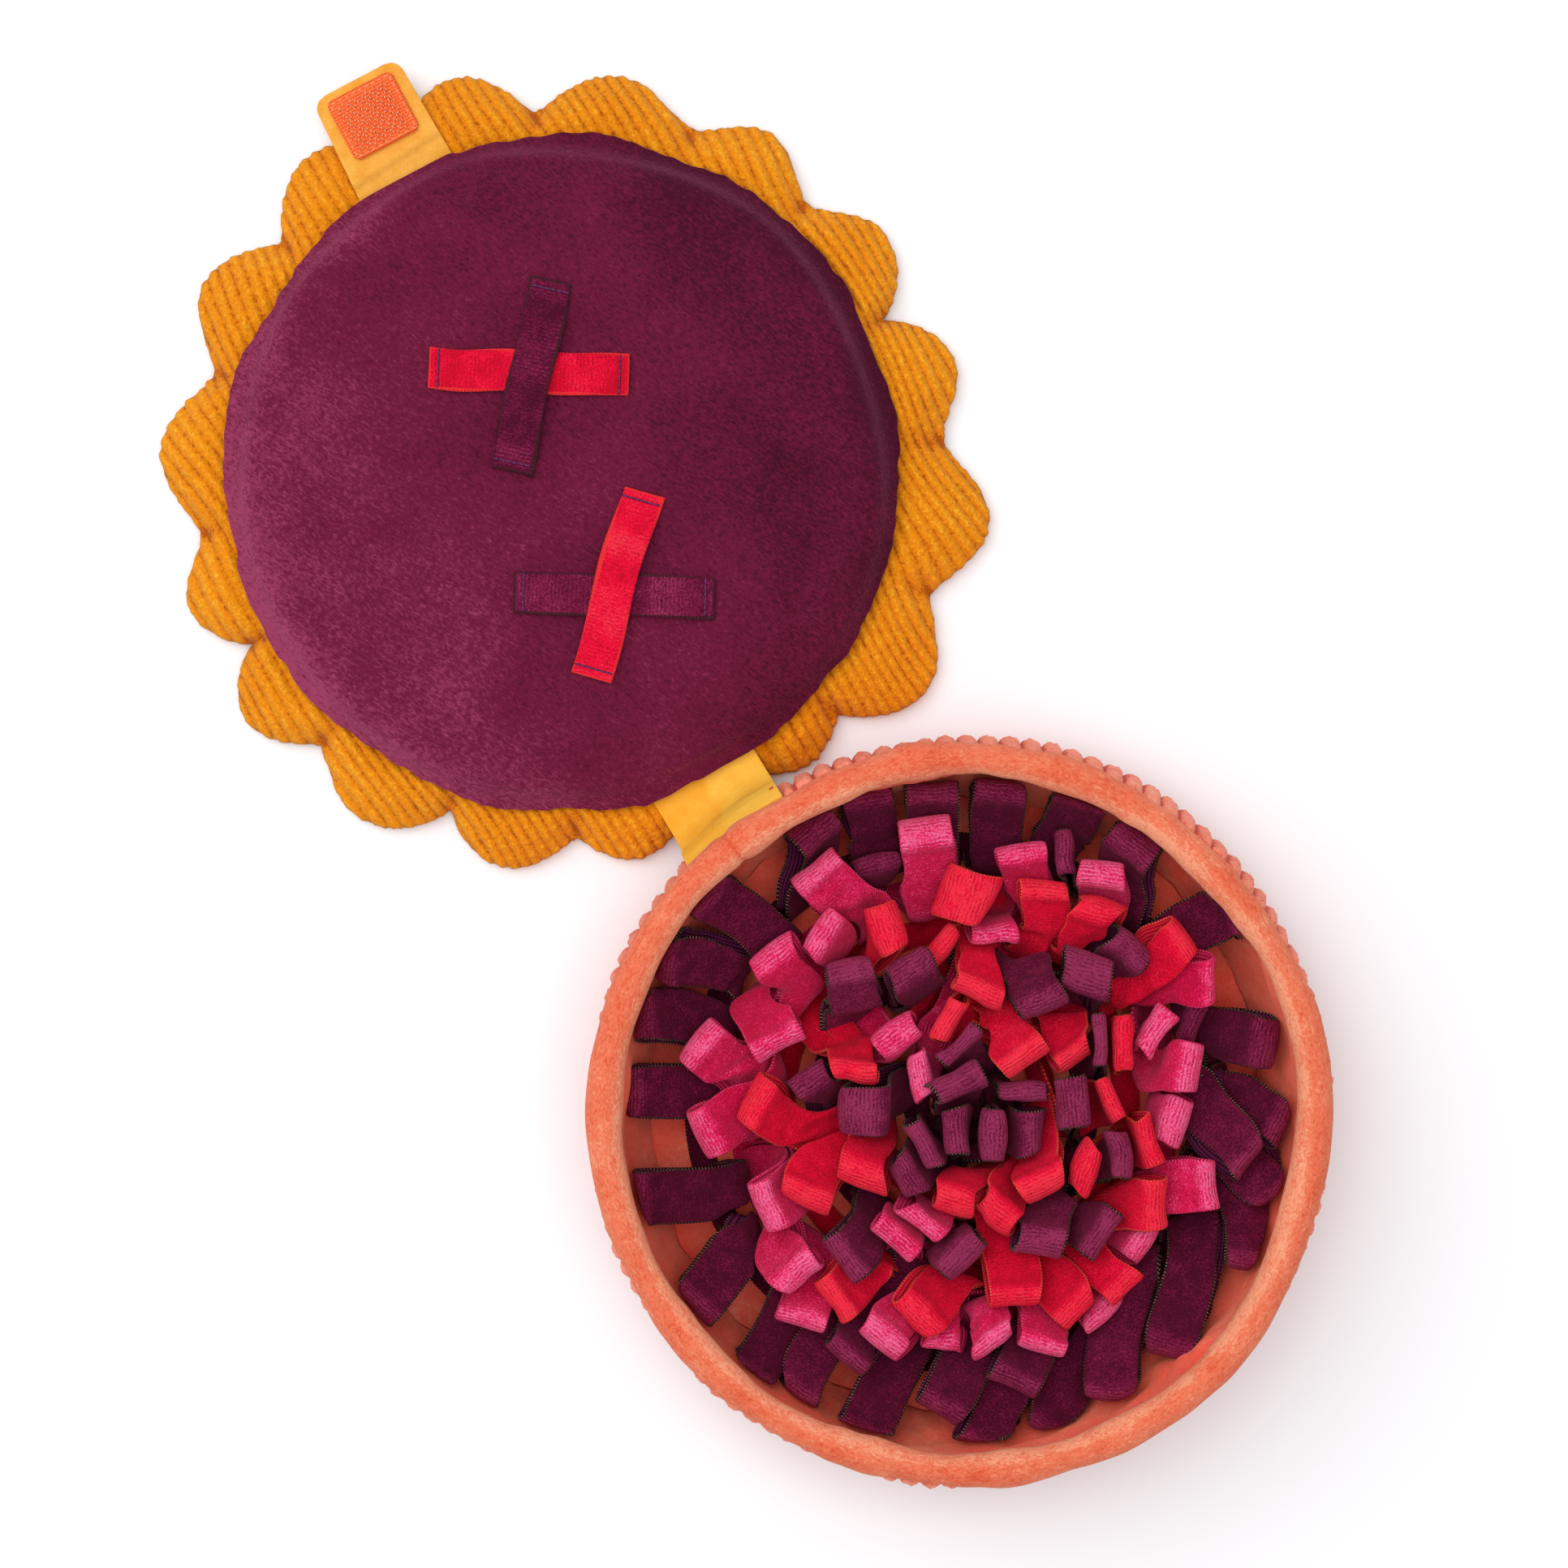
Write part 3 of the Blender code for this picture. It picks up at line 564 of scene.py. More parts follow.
def roundPiece(name, radius, top, thickness, columns=96, rows=24, wave=0.0):
    # level disc, from its edge (v = 0) to its middle
    def shape(u, v):
        x, y, z = around(radius * (1 - v), u * tau, top)
        return x, y, z + wave * ripples(21, 0.03, x, y)
    piece = gridPiece(name, columns, rows, shape)
    weld(piece, outward=False)
    thicken(piece, thickness)
    softenEdges(piece, 0.0006)
    return piece


floorLining = roundPiece("floorLining", 0.1152, 0.0074, 0.0012, wave=0.00015)
settle(floorLining, "bowl", liningPlush, "orange_lining", "floor_lining")
basePanel = roundPiece("basePanel", 0.1218, 0.0015, 0.0014, columns=192, rows=40)
scaleUv(basePanel, 0.76, 0.12)
settle(basePanel, "bowl", salmonPlush, "salmon_rib", "base_panel")
baseFoam = roundPiece("baseFoam", 0.1150, 0.0058, 0.0038)
settle(baseFoam, "bowl", whiteFoam, "foam", "base_foam")

foamBand = {"radius": 0.1192, "halfWidth": 0.0018, "middle": 0.0302, "halfHeight": 0.0270,
            "power": 0.35}


def foamTube(u, v):
    # round the bowl, with a section like a rounded box
    across, up = np.cos(v * tau), np.sin(v * tau)
    power = foamBand["power"]
    radius = foamBand["radius"] + foamBand["halfWidth"] * np.sign(across) * np.abs(across) ** power
    z = foamBand["middle"] + foamBand["halfHeight"] * np.sign(up) * np.abs(up) ** power
    return around(radius, u * tau, z)


wallFoam = gridPiece("wallFoam", 120, 24, foamTube)
closeUp(wallFoam, "bowl", whiteFoam, "foam", "wall_foam", outward=True)
print("bowl wall, lining and base made")

rim = {"radius": 0.1183, "roll": 0.0057, "height": 0.0643, "highest": 0.0708, "sway": 0.0007,
       "rise": 0.0004, "swell": 0.00035, "wrinkle": 0.00022, "wadding": 0.0034,
       # width of the seam as a share of the girth, and as a length where it darkens the pile
       "seamDip": 0.0009, "seamShare": 0.0022, "seamLine": 0.0008}


def rimCentre(angle):
    # radius and height of the roll's middle line
    x, y = rim["radius"] * np.cos(angle), rim["radius"] * np.sin(angle)
    radius = rim["radius"] + rim["sway"] * ripples(31, 0.11, x, y)
    return radius, rim["height"] + rim["rise"] * ripples(32, 0.09, x, y)


def rimShape(u, v):
    angle, turn = bowl["seamAngle"] + u * tau, v * tau
    x, y = rim["radius"] * np.cos(angle), rim["radius"] * np.sin(angle)
    centre, middle = rimCentre(angle)
    seam = np.exp(-((u + 0.5) % 1 - 0.5) ** 2 / (2 * rim["seamShare"] ** 2))
    roll = rim["roll"] + rim["swell"] * ripples(33, 0.035, x, y) - rim["seamDip"] * seam
    wrinkle = ripples(34, 0.011, x, y, 0.003 * np.cos(turn), 0.003 * np.sin(turn))
    roll = roll + rim["wrinkle"] * wrinkle * (0.6 + 0.4 * ripples(35, 0.05, x, y))
    z = np.minimum(middle + roll * np.sin(turn), rim["highest"])
    return around(centre + roll * np.cos(turn), angle, z)


rimRoll = gridPiece("rimRoll", 960, 36, rimShape)
scaleUv(rimRoll, 0.743, 0.0358)
places = pointsOf(rimRoll)
inside = (rim["radius"] - np.hypot(places[:, 0], places[:, 1])) / rim["roll"]
turned = np.arctan2(places[:, 1], places[:, 0]) - bowl["seamAngle"]
fromSeam = np.angle(np.exp(1j * turned)) * 0.118
seamTone = 0.7 * hump(fromSeam, rim["seamLine"])
# painted sheen: the roll's inner half is painted paler
putValues(rimRoll, "tone", 0.7 * smoothStep(inside, 0.1, 0.6) - 0.1 - seamTone)
closeUp(rimRoll, "bowl", coralPlush, "coral_plush", "rim_cover")


def waddingRing(u, v):
    angle, turn = u * tau, v * tau
    centre, middle = rimCentre(angle)
    z = middle + rim["wadding"] * np.sin(turn)
    return around(centre + rim["wadding"] * np.cos(turn), angle, z)


rimWadding = gridPiece("rimWadding", 160, 12, waddingRing)
closeUp(rimWadding, "bowl", whiteWadding, "wadding", "rim_wadding", outward=True)
print("rim made")


# ribbon loops
loops = {
    "width": 0.0192, "thickness": 0.0018, "tapeHeight": 0.0083, "tapeWidth": 0.0096,
    "tipHeight": 0.0530, "outerDrop": 0.0140, "highest": 0.0575, "belly": 0.034,
    "tapeShade": -0.3, "middleTone": 0.5, "toneSpread": 0.45,
    "stations": 38, "across": 7, "space": 0.0034, "mostMove": 0.011, "mostStep": 0.0016,
    "rounds": 96, "quickRounds": 12,
    # least distance of two roots on a line, how far apart a loop's two legs start, how far a loop
    # leans away from its root (upright, and the more when flat), where tips stand lowest
    "rootSpace": 0.0194, "legGap": 0.0018, "reach": (0.010, 0.024), "dropRadius": 0.112,
    # inner radius of the lining, and how much less room there is at the rim and at the foot
    "room": 0.1128, "rimRoom": 0.0010, "footRoom": 0.0080,
    # radius of the sewing lines of each colour, and the node of each line
    "tapes": {"dark": ((0.0899, "loops_1_purple"), (0.0462, "loops_4_purple"),
                       (0.0133, "loops_6_purple")),
              "pink": ((0.0748, "loops_2_pink"),),
              "red": ((0.0603, "loops_3_red"), (0.0314, "loops_5_red"))},
}
# each row: photo x and y of the tip, its heading in the photo's degrees, degrees that it leans from
# upright, radius of the bend in mm, and unless 0 the width's tilt in degrees and a rise in mm
loopRows = {
    "dark": (
        (868, 1100, 147, 66, 5), (820, 1180, 185, 60, 6, 40), (790, 1250, 180, 55, 6, -30),
        (1005, 1022, 110, 25, 8, 35), (1066, 980, 100, 52, 6, 0, -1),
        (1078, 1062, 105, 20, 5, 0, -8), (1148, 976, 92, 50, 5, 0, -1),
        (1232, 966, 84, 52, 8, -8), (1332, 979, 72, 52, 6, 0, -1),
        (1312, 1056, 150, 10, 5, 35, -2), (1400, 1036, 60, 30, 8, -20, 2),
        (1526, 1118, 20, 64, 6), (1560, 1285, -15, 50, 7, -40), (1572, 1392, -30, 60, 6, 0, -2),
        (1540, 1422, -40, 55, 5), (1568, 1474, -50, 60, 5, 0, -3), (1540, 1555, -100, 60, 6),
        (1442, 1660, -112, 62, 8, -25), (1368, 1717, -95, 62, 5, -12),
        (1292, 1760, -115, 65, 5, 0, -2), (1206, 1779, -120, 66, 5, 0, -2),
        (1160, 1735, -122, 62, 5), (1250, 1700, -115, 45, 5, 0, 2), (1062, 1766, -118, 66, 5),
        (1045, 1668, -130, 50, 5), (970, 1712, -120, 64, 6, 0, -2), (932, 1704, -122, 64, 6),
        (857, 1606, -130, 64, 6), (786, 1475, 180, 66, 5), (780, 1345, 180, 66, 5, 0, -2),
        (1465, 1262, -20, 30, 5, 0, -6), (1122, 1186, 125, 40, 6), (1050, 1192, 100, 50, 6, -10),
        (1285, 1235, -65, 45, 6, 14, 1), (1338, 1198, 100, 12, 8, -28, 1),
        (1389, 1168, 30, 12, 7, 25, 1), (1180, 1287, 135, 12, 5), (1180, 1330, 95, 18, 6, 22),
        (1262, 1347, 90, 15, 5, 0, -3), (1352, 1283, 180, 8, 5, 0, 1),
        (1319, 1357, 185, 30, 7, 0, 1), (1375, 1415, 25, 20, 6, -25, 1),
        (1174, 1390, 165, 15, 6, 22), (1224, 1398, 180, 8, 5, 0, 1),
        (1274, 1392, 0, 40, 6, 0, -5), (1137, 1412, 210, 12, 5), (1118, 1450, 212, 20, 6),
        (1062, 1365, 210, 12, 9, -32), (1000, 1330, 120, 30, 6, 0, -5), (1040, 1550, 214, 40, 5),
        (1185, 1548, -45, 35, 6, 0, 1), (1278, 1528, -110, 30, 7, 22, 1),
        (1357, 1520, -35, 22, 5, 0, 1)),
    "pink": (
        (1005, 1070, 134, 60, 6, 14), (1010, 1152, 140, 35, 5, 25), (955, 1174, 126, 58, 6),
        (958, 1284, -62, 45, 5, 0, 1), (864, 1286, 143, 55, 6, 10), (870, 1395, 209, 55, 6, 12),
        (945, 1485, 204, 50, 6, 10), (1140, 1022, 100, 50, 8, 18),
        (1260, 1050, 100, 55, 5, 0, -1), (1352, 1078, 110, 12, 8, -28),
        (1223, 1150, -90, 30, 5, 0, -4), (1486, 1208, 3, 65, 5, 0, -1), (1466, 1315, -10, 50, 6),
        (1422, 1272, 145, 12, 5), (1447, 1382, -20, 30, 7, 0, -5), (1490, 1458, 5, 55, 5),
        (1402, 1535, -35, 40, 5, 0, -5), (1356, 1612, -45, 45, 5, 0, -5),
        (1280, 1656, -105, 55, 5), (1222, 1652, -58, 50, 5), (1165, 1652, -100, 50, 5, 0, -2),
        (1085, 1648, 235, 50, 7, 25), (990, 1624, 253, 50, 5), (985, 1572, -48, 40, 7),
        (1105, 1526, 229, 35, 5), (1130, 1500, 229, 30, 5), (1100, 1276, 122, 30, 6),
        (1138, 1332, 190, 12, 5)),
    "red": (
        (1194, 1106, 180, 5, 11, -18, 1), (1290, 1092, 85, 58, 6, -12),
        (1356, 1116, 70, 50, 7, -18), (1096, 1146, 40, 25, 8, -32),
        (1154, 1175, 80, 10, 6, 60, -2), (1205, 1226, 250, 38, 6, -15, 1),
        (1172, 1255, 150, 12, 5), (1460, 1162, 35, 62, 5, -12, 1), (1262, 1304, -55, 45, 6, 12),
        (1336, 1302, -60, 40, 6, 0, -3), (1382, 1284, 0, 8, 5, 0, 1), (1366, 1360, 25, 15, 5),
        (1413, 1405, 20, 12, 5), (1340, 1435, 180, 15, 6, -28), (1424, 1484, 0, 45, 6),
        (1286, 1460, -64, 35, 6), (1180, 1482, 255, 35, 6), (1225, 1496, 235, 30, 6),
        (990, 1475, 248, 45, 6, 0, 1), (1068, 1448, 250, 30, 7), (932, 1356, 151, 50, 6),
        (1055, 1325, 258, 30, 6, 18), (1026, 1600, 215, 50, 5), (1130, 1624, 225, 45, 7, 28),
        (1252, 1600, -88, 50, 5), (1330, 1610, -45, 50, 6), (1380, 1588, -45, 50, 5, 0, -1)),
}


def spreadRoots(rooms):
    # roots on one sewing line keep a ribbon's width apart
    rooms.sort(key=lambda room: room["rootAngle"])
    radius, count = rooms[0]["rootRadius"], len(rooms)
    least = min(loops["rootSpace"] / radius, tau / count)
    for _ in range(400):
        for index, room in enumerate(rooms):
            other = rooms[(index + 1) % count]
            gap = (other["rootAngle"] - room["rootAngle"]) % tau
            if gap < least and count > 1:
                room["rootAngle"] -= (least - gap) / 2
                other["rootAngle"] += (least - gap) / 2


def planLoops():
    rooms = []
    for colour, rows in loopRows.items():
        for px, py, heading, lean, bend, *rest in rows:
            tilt, change = (rest + [0, 0])[:2]
            z = loops["tipHeight"]
            for _ in range(2):                            # tips stand lower towards the lining
                x, y = fromPhoto(px, py, z)
                drop = loops["outerDrop"] * ((x * x + y * y) / loops["dropRadius"] ** 2)
                z = loops["tipHeight"] - drop + change * mm
            way = math.radians(heading) + turnOfPhoto
            forward = Vector((math.cos(way), math.sin(way), 0))
            slope = math.radians(lean)
            least, more = loops["reach"]
            root = Vector((x, y, 0)) - forward * (least + more * math.sin(slope))
            radius, node = min(loops["tapes"][colour], key=lambda tape: abs(tape[0] - root.length))
            rooms.append({
                "colour": colour, "node": node, "rootRadius": radius,
                "rootAngle": math.atan2(root.y, root.x), "tip": Vector((x, y, z)),
                "forward": forward, "slope": slope, "bend": bend * mm, "tilt": math.radians(tilt)})
    for node in sorted({room["node"] for room in rooms}):
        spreadRoots([room for room in rooms if room["node"] == node])
    return rooms


def unitRows(rows):
    return rows / np.linalg.norm(rows, axis=1)[:, None]


def layLoop(room, seed):
    # ribbon from its sewing line up one leg, round the bend and down the other leg
    picks = np.random.default_rng(seed)
    up = Vector((0, 0, 1))
    axis = (room["forward"] * math.sin(room["slope"]) + up * math.cos(room["slope"])).normalized()
    side = room["forward"].cross(up)                      # to the right of the heading
    side = side * math.cos(room["tilt"]) + axis.cross(side).normalized() * math.sin(room["tilt"])
    if (side.z > 0) != (room["tilt"] > 0) and abs(room["tilt"]) > 0.01:
        side = side - 2 * side.z * up
    side = (side - axis * side.dot(axis)).normalized()
    over = side.cross(axis).normalized()
    if over.z < 0:
        over = -over
    outward = Vector((math.cos(room["rootAngle"]), math.sin(room["rootAngle"]), 0))
    root = outward * room["rootRadius"] + up * loops["tapeHeight"]
    rootSide = Vector((-outward.y, outward.x, 0))
    if rootSide.dot(side) < 0:
        rootSide = -rootSide
    legOut = outward if outward.dot(over) > 0 else -outward
    tip, bend = room["tip"], room["bend"]
    span = (tip - root).length
    squeeze = picks.uniform(0.75, 1.0)                    # how round the bend is
    legs = []
    for sign in (1, -1):
        start = root + legOut * sign * loops["legGap"]
        end = tip - axis * bend * 0.6 + over * sign * bend * squeeze * 0.8
        inward = room["forward"] * loops["belly"] * math.sin(room["slope"]) ** 2
        first = start + up * span * (0.30 + 0.20 * math.sin(room["slope"])) - inward
        second = end - axis * span * (0.34 + 0.34 * math.sin(room["slope"]) ** 2)
        second = second - over * sign * bend * 0.45
        there = np.linspace(0, 1, 14)[:, None]
        back = 1 - there
        legs.append(back ** 3 * np.array(start) + 3 * back ** 2 * there * np.array(first)
                    + 3 * back * there ** 2 * np.array(second) + there ** 3 * np.array(end))
    turns = np.linspace(0, math.pi, 13)[1:-1, None]
    power = 0.85
    swing = np.sign(np.cos(turns)) * np.abs(np.cos(turns)) ** power
    arc = (np.array(tip - axis * bend * 0.6) + np.array(over) * swing * bend * squeeze
           + np.array(axis) * np.sin(turns) ** power * bend)
    line = np.concatenate([legs[0], arc, legs[1][::-1]])
    steps = np.concatenate([[0], np.cumsum(np.linalg.norm(np.diff(line, axis=0), axis=1))])
    even = np.linspace(0, steps[-1], loops["stations"])
    line = np.stack([np.interp(even, steps, line[:, k]) for k in range(3)], axis=1)
    fromTop = even - steps[-1] / 2
    # the width turns from the sewing line to the tip's own heading, with a little twist of its own
    share = np.clip((line[:, 2] - root.z) / max(0.001, tip.z - root.z), 0, 1)[:, None] ** 0.8
    width = (1 - share) * np.array(rootSide) + share * np.array(side)
    along = unitRows(np.gradient(line, axis=0))
    width = unitRows(width - along * (width * along).sum(axis=1)[:, None])
    normal = np.cross(along, width)
    across = np.linspace(-1, 1, loops["across"])
    cup = picks.uniform(-0.0014, 0.0014)
    # the ribbon draws in a little where it bends
    narrow = 1 - picks.uniform(0.0, 0.10) * hump(fromTop, 0.007)
    sideways = (narrow[:, None] * across * loops["width"] / 2)[:, :, None]
    lift = (cup * (across ** 2 - 0.4))[None, :, None]
    return line[:, None, :] + width[:, None, :] * sideways + normal[:, None, :] * lift, fromTop


def nearPairs(points, owner, reach):
    # pairs of points of different loops that are closer than reach
    cell = np.floor(points / reach).astype(np.int64) + 2000
    key = (cell[:, 0] * 8192 + cell[:, 1]) * 8192 + cell[:, 2]
    order = np.argsort(key, kind="stable")
    ranked = key[order]
    found = []
    sides = (-1, 0, 1)
    steps = [(dx * 8192 + dy) * 8192 + dz for dx in sides for dy in sides for dz in sides]
    for step in [step for step in steps if step >= 0]:    # each pair of neighbouring cells once
        low = np.searchsorted(ranked, key + step, "left")
        count = np.searchsorted(ranked, key + step, "right") - low
        first = np.repeat(np.arange(len(key)), count)
        begin = np.repeat(low - np.concatenate([[0], np.cumsum(count)[:-1]]), count)
        second = order[begin + np.arange(len(first))]
        keep = owner[first] != owner[second]
        if step == 0:
            keep &= first < second
        first, second = first[keep], second[keep]
        gap = points[first] - points[second]
        distance = np.linalg.norm(gap, axis=1)
        keep = distance < reach
        found.append((first[keep], second[keep], gap[keep], distance[keep]))
    return [np.concatenate([row[k] for row in found]) for k in range(4)]


def pressApart(sheets):
    # loops that overlap push each other aside, and each ribbon bends smoothly to make room
    count, stations, across, _ = sheets.shape
    start = sheets.copy()
    owner = np.repeat(np.arange(count), stations * across)
    hold = np.minimum(np.arange(stations), np.arange(stations)[::-1])
    hold = np.clip((hold - 0.5) / 6, 0, 1)[None, :, None, None]
    rounds = loops["rounds"]
    lengths = np.linalg.norm(np.diff(sheets, axis=1), axis=3, keepdims=True)
    for number in range(rounds):
        flat = sheets.reshape(-1, 3)
        tips = sheets[:, stations // 2 - 8:stations // 2 + 9].mean(axis=(1, 2))
        first, second, gap, distance = nearPairs(flat, owner, loops["space"])
        share = (loops["space"] - distance) * 0.6
        push = gap / np.maximum(distance, 1e-5)[:, None] * share[:, None]
        # early on, crossing loops also part as whole loops
        apart = tips[owner[first]] - tips[owner[second]]
        apart /= np.maximum(np.linalg.norm(apart, axis=1), 1e-5)[:, None]
        whole = 0.7 * max(0.0, 1 - number / (0.6 * rounds))
        push = push + apart * (share * whole)[:, None]
        move = np.zeros_like(flat)
        for k in range(3):
            move[:, k] = (np.bincount(first, push[:, k], len(flat))
                          - np.bincount(second, push[:, k], len(flat)))
        move = move.reshape(sheets.shape)
        move = 0.35 * move + 0.65 * move.mean(axis=2, keepdims=True)
        for _ in range(4):
            inner = (move[:, :-2] + 2 * move[:, 1:-1] + move[:, 2:]) / 4
            move = np.concatenate([move[:, :1], inner, move[:, -1:]], axis=1)
        sheets = sheets + np.clip(move * 1.6, -loops["mostStep"], loops["mostStep"]) * hold
        for _ in range(3):                                # the ribbon keeps its length
            step = np.diff(sheets, axis=1)
            size = np.linalg.norm(step, axis=3, keepdims=True)
            fix = step * (1 - lengths / np.maximum(size, 1e-6)) * 0.5
            sheets[:, :-1] += fix * hold[:, :-1]
            sheets[:, 1:] -= fix * hold[:, 1:]
        # inside the lining, over the floor, under the closed lid
        flatRadius, z = np.linalg.norm(sheets[..., :2], axis=3), sheets[..., 2]
        limit = loops["room"] - loops["rimRoom"] * smoothStep(z, 0.050, 0.058)
        limit = limit - loops["footRoom"] * (1 - smoothStep(z, 0.010, 0.034))
        sheets[..., :2] *= np.minimum(1, limit / np.maximum(flatRadius, 1e-6))[..., None]
        sheets[..., 2] = np.clip(z, loops["tapeHeight"], loops["highest"])
        away = sheets - start
        far = np.linalg.norm(away, axis=3, keepdims=True)
        sheets = start + away * np.minimum(1, loops["mostMove"] / np.maximum(far, 1e-6))
    print("loops: close pairs left", len(first))
    return sheets


def ribbonLook(piece, colour, body, node, thickness, offset, levels=0):
    # velour outside, knitted backing inside and a selvedge along the edges
    for material in ribbonFinishes[colour]:
        piece.data.materials.append(material)
    thicken(piece, thickness, offset, backing=1, edge=2)
    if levels:
        subdivide(piece, levels)
    piece.data.shade_smooth()
    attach(piece, body)
    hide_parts(node)


def sewRing(colour, radius, node, rooms):
    # the loops of one ring and the tape that they are sewn to
    stations, across = loops["stations"], loops["across"]
    quads = [(i * across + j, i * across + j + 1, (i + 1) * across + j + 1, (i + 1) * across + j)
             for i in range(stations - 1) for j in range(across - 1)]
    vertices, faces, total = [], [], 0.0
    marks = {"along": [], "across": [], "bend": [], "tone": []}
    for room in rooms:
        base, points, fromTop = len(vertices), room["points"], room["fromTop"]
        middle = points[:, across // 2]
        normals = np.cross(np.gradient(points, axis=0), np.gradient(points, axis=1))
        outside = ((points - middle.mean(axis=0)) * normals).sum()
        vertices += [tuple(p) for p in points.reshape(-1, 3)]
        for quad in quads:
            faces.append(tuple(base + k for k in (quad if outside < 0 else quad[::-1])))
        marks["along"] += list(np.repeat(fromTop, across))
        marks["across"] += list(np.tile(np.linspace(-1, 1, across), stations))
        marks["bend"] += list(np.repeat(np.exp(-(fromTop / room["bend"]) ** 2 / 2), across))
        marks["tone"] += [room["tone"]] * (stations * across)
        total += float(fromTop[-1] - fromTop[0])
    # the sewing tape, painted darker as painted shade under the loops
    base, turns, half = len(vertices), 96, loops["tapeWidth"] / 2
    for k in range(turns):
        angle = tau * k / turns
        for share in (-1, -1 / 3, 1 / 3, 1):
            vertices.append(around(radius + half * share, angle, loops["tapeHeight"]))
            for name, value in zip(marks, (angle * radius, share, 0.0, loops["tapeShade"])):
                marks[name].append(value)
        for j in range(3):
            a, b = base + 4 * k + j, base + 4 * ((k + 1) % turns) + j
            faces.append((a, a + 1, b + 1, b))
    piece = meshPiece("loops" + node.split("_")[1] + colour.capitalize(), vertices, faces)
    for name, values in marks.items():
        putValues(piece, name, values)
    ribbonLook(piece, colour, "bowl", node, loops["thickness"], 0, levels=1)
    flatLength = total + math.pi * radius                 # with half the girth of the tape
    print(piece.name, len(rooms), "loops", len(piece.data.polygons), "faces")


def sewLoops():
    rooms = planLoops()
    laid = [layLoop(room, 100 + index) for index, room in enumerate(rooms)]
    sheets = pressApart(np.stack([points for points, _ in laid]))
    picks = np.random.default_rng(77)
    for room, points, (_, fromTop) in zip(rooms, sheets, laid):
        # loops near the middle are painted a little paler
        paler = loops["middleTone"] * float(smoothStep(0.085 - room["rootRadius"], 0, 0.04))
        tone = picks.uniform(-loops["toneSpread"], loops["toneSpread"]) + paler
        room.update(points=points, fromTop=fromTop, tone=tone)
    for colour, tapes in loops["tapes"].items():
        for radius, node in tapes:
            sewRing(colour, radius, node, [room for room in rooms if room["node"] == node])


sewLoops()
print("ribbon loops made")


# lid: scalloped crust
lid = {"seamRadius": 0.112, "seamHeight": 0.0045, "top": 0.0115, "puff": 0.0030,
       "faceCloth": 0.0010, "backCloth": 0.0009,
       "walePitch": 0.0044, "waleHeight": 0.0009, "waleKnobs": 0.0002,
       "seamShare": 0.12, "edgeShare": 0.995,
       # width of the valleys' creases on face and back, and in degrees how far painted shade
       # darkens them
       "creaseWidth": 0.0040, "backCrease": 0.0034, "creaseShade": 1.2, "swell": 0.0006,
       # photo angle and pixel radius of the top of each scallop
       "lobes": ((104.8, 509), (84.2, 497), (58.9, 493), (35.3, 496), (17, 502), (-5.8, 528),
                 (-30.3, 521), (-47.5, 468), (-78.6, 482), (-96.5, 489), (-115.9, 492),
                 (-139.3, 495), (-158.1, 490), (176.3, 499), (153.2, 504), (130, 505)),
       # photo angle and pixel radius of each valley, and how smooth it is
       "valleys": ((117.4, 452, 1.0), (94.5, 448, 1.1), (69.5, 456, 1.5), (48.3, 449, 1.5),
                   (25.9, 437, 0.8), (5.1, 470, 1.5), (-18, 476, 1.3), (-41.2, 448, 0.9),
                   (-56, 444, 1.0), (-70, 444, 1.0), (-88, 447, 1.0), (-108.7, 434, 0.8),
                   (-132, 447, 1.0), (-151.6, 436, 0.75), (-170.8, 454, 1.4), (163.7, 449, 1.4),
                   (140.6, 451, 1.0)),
       # photo angle of the strap and the tab, and half the width that they press flat
       "felts": ((-63, 0.020), (117.5, 0.018)), "feltTop": 0.0119}
centreX, centreY = 0.0, 0.2586
lidMiddle = (centreX, centreY)


def outlineOf(photoAngle):
    # radius of the scalloped edge, and the distance in degrees to the nearest valley
    valleys = sorted((a % 360, r, smooth) for a, r, smooth in lid["valleys"])
    lobes = [(a % 360, r) for a, r in lid["lobes"]]
    angle = np.mod(photoAngle, 360)
    radius, away = np.zeros_like(angle), np.zeros_like(angle)
    for index, (low, lowRadius, lowSmooth) in enumerate(valleys):
        high, highRadius, highSmooth = valleys[(index + 1) % len(valleys)]
        wide = (high - low) % 360
        share = ((angle - low) % 360) / wide
        inside = share <= 1
        tops = [r for a, r in lobes if ((a - low) % 360) < wide]
        base = lowRadius + (highRadius - lowRadius) * share
        top = tops[0] if tops else 0.5 * (lowRadius + highRadius) + 2
        smooth = lowSmooth + (highSmooth - lowSmooth) * smoothStep(share, 0.3, 0.7)
        swell = np.sin(math.pi * np.clip(share, 0, 1)) ** smooth
        radius = np.where(inside, base + (top - base) * swell, radius)
        away = np.where(inside, np.minimum(share, 1 - share) * wide, away)
    return radius / camera["pixelsPerMm"] * mm * lid["edgeShare"], away


def walePhase(x, y):
    across = x * math.cos(waleTurn) + y * math.sin(waleTurn)
    across = across + 0.0010 * ripples(41, 0.045, x, y) + 0.0014 * ripples(40, 0.11, x, y)
    return across / lid["walePitch"]


def waleAt(x, y):
    return np.abs(np.sin(math.pi * walePhase(x, y))) ** 0.55


def underFelt(photoAngle, radius):
    # 1 where the strap or the tab lies on the crust
    found = np.zeros_like(radius)
    for middle, half in lid["felts"]:
        aside = np.radians(np.abs(turnFrom(photoAngle, middle))) * radius
        found = np.maximum(found, 1 - smoothStep(aside, half, half + 0.007))
    return found


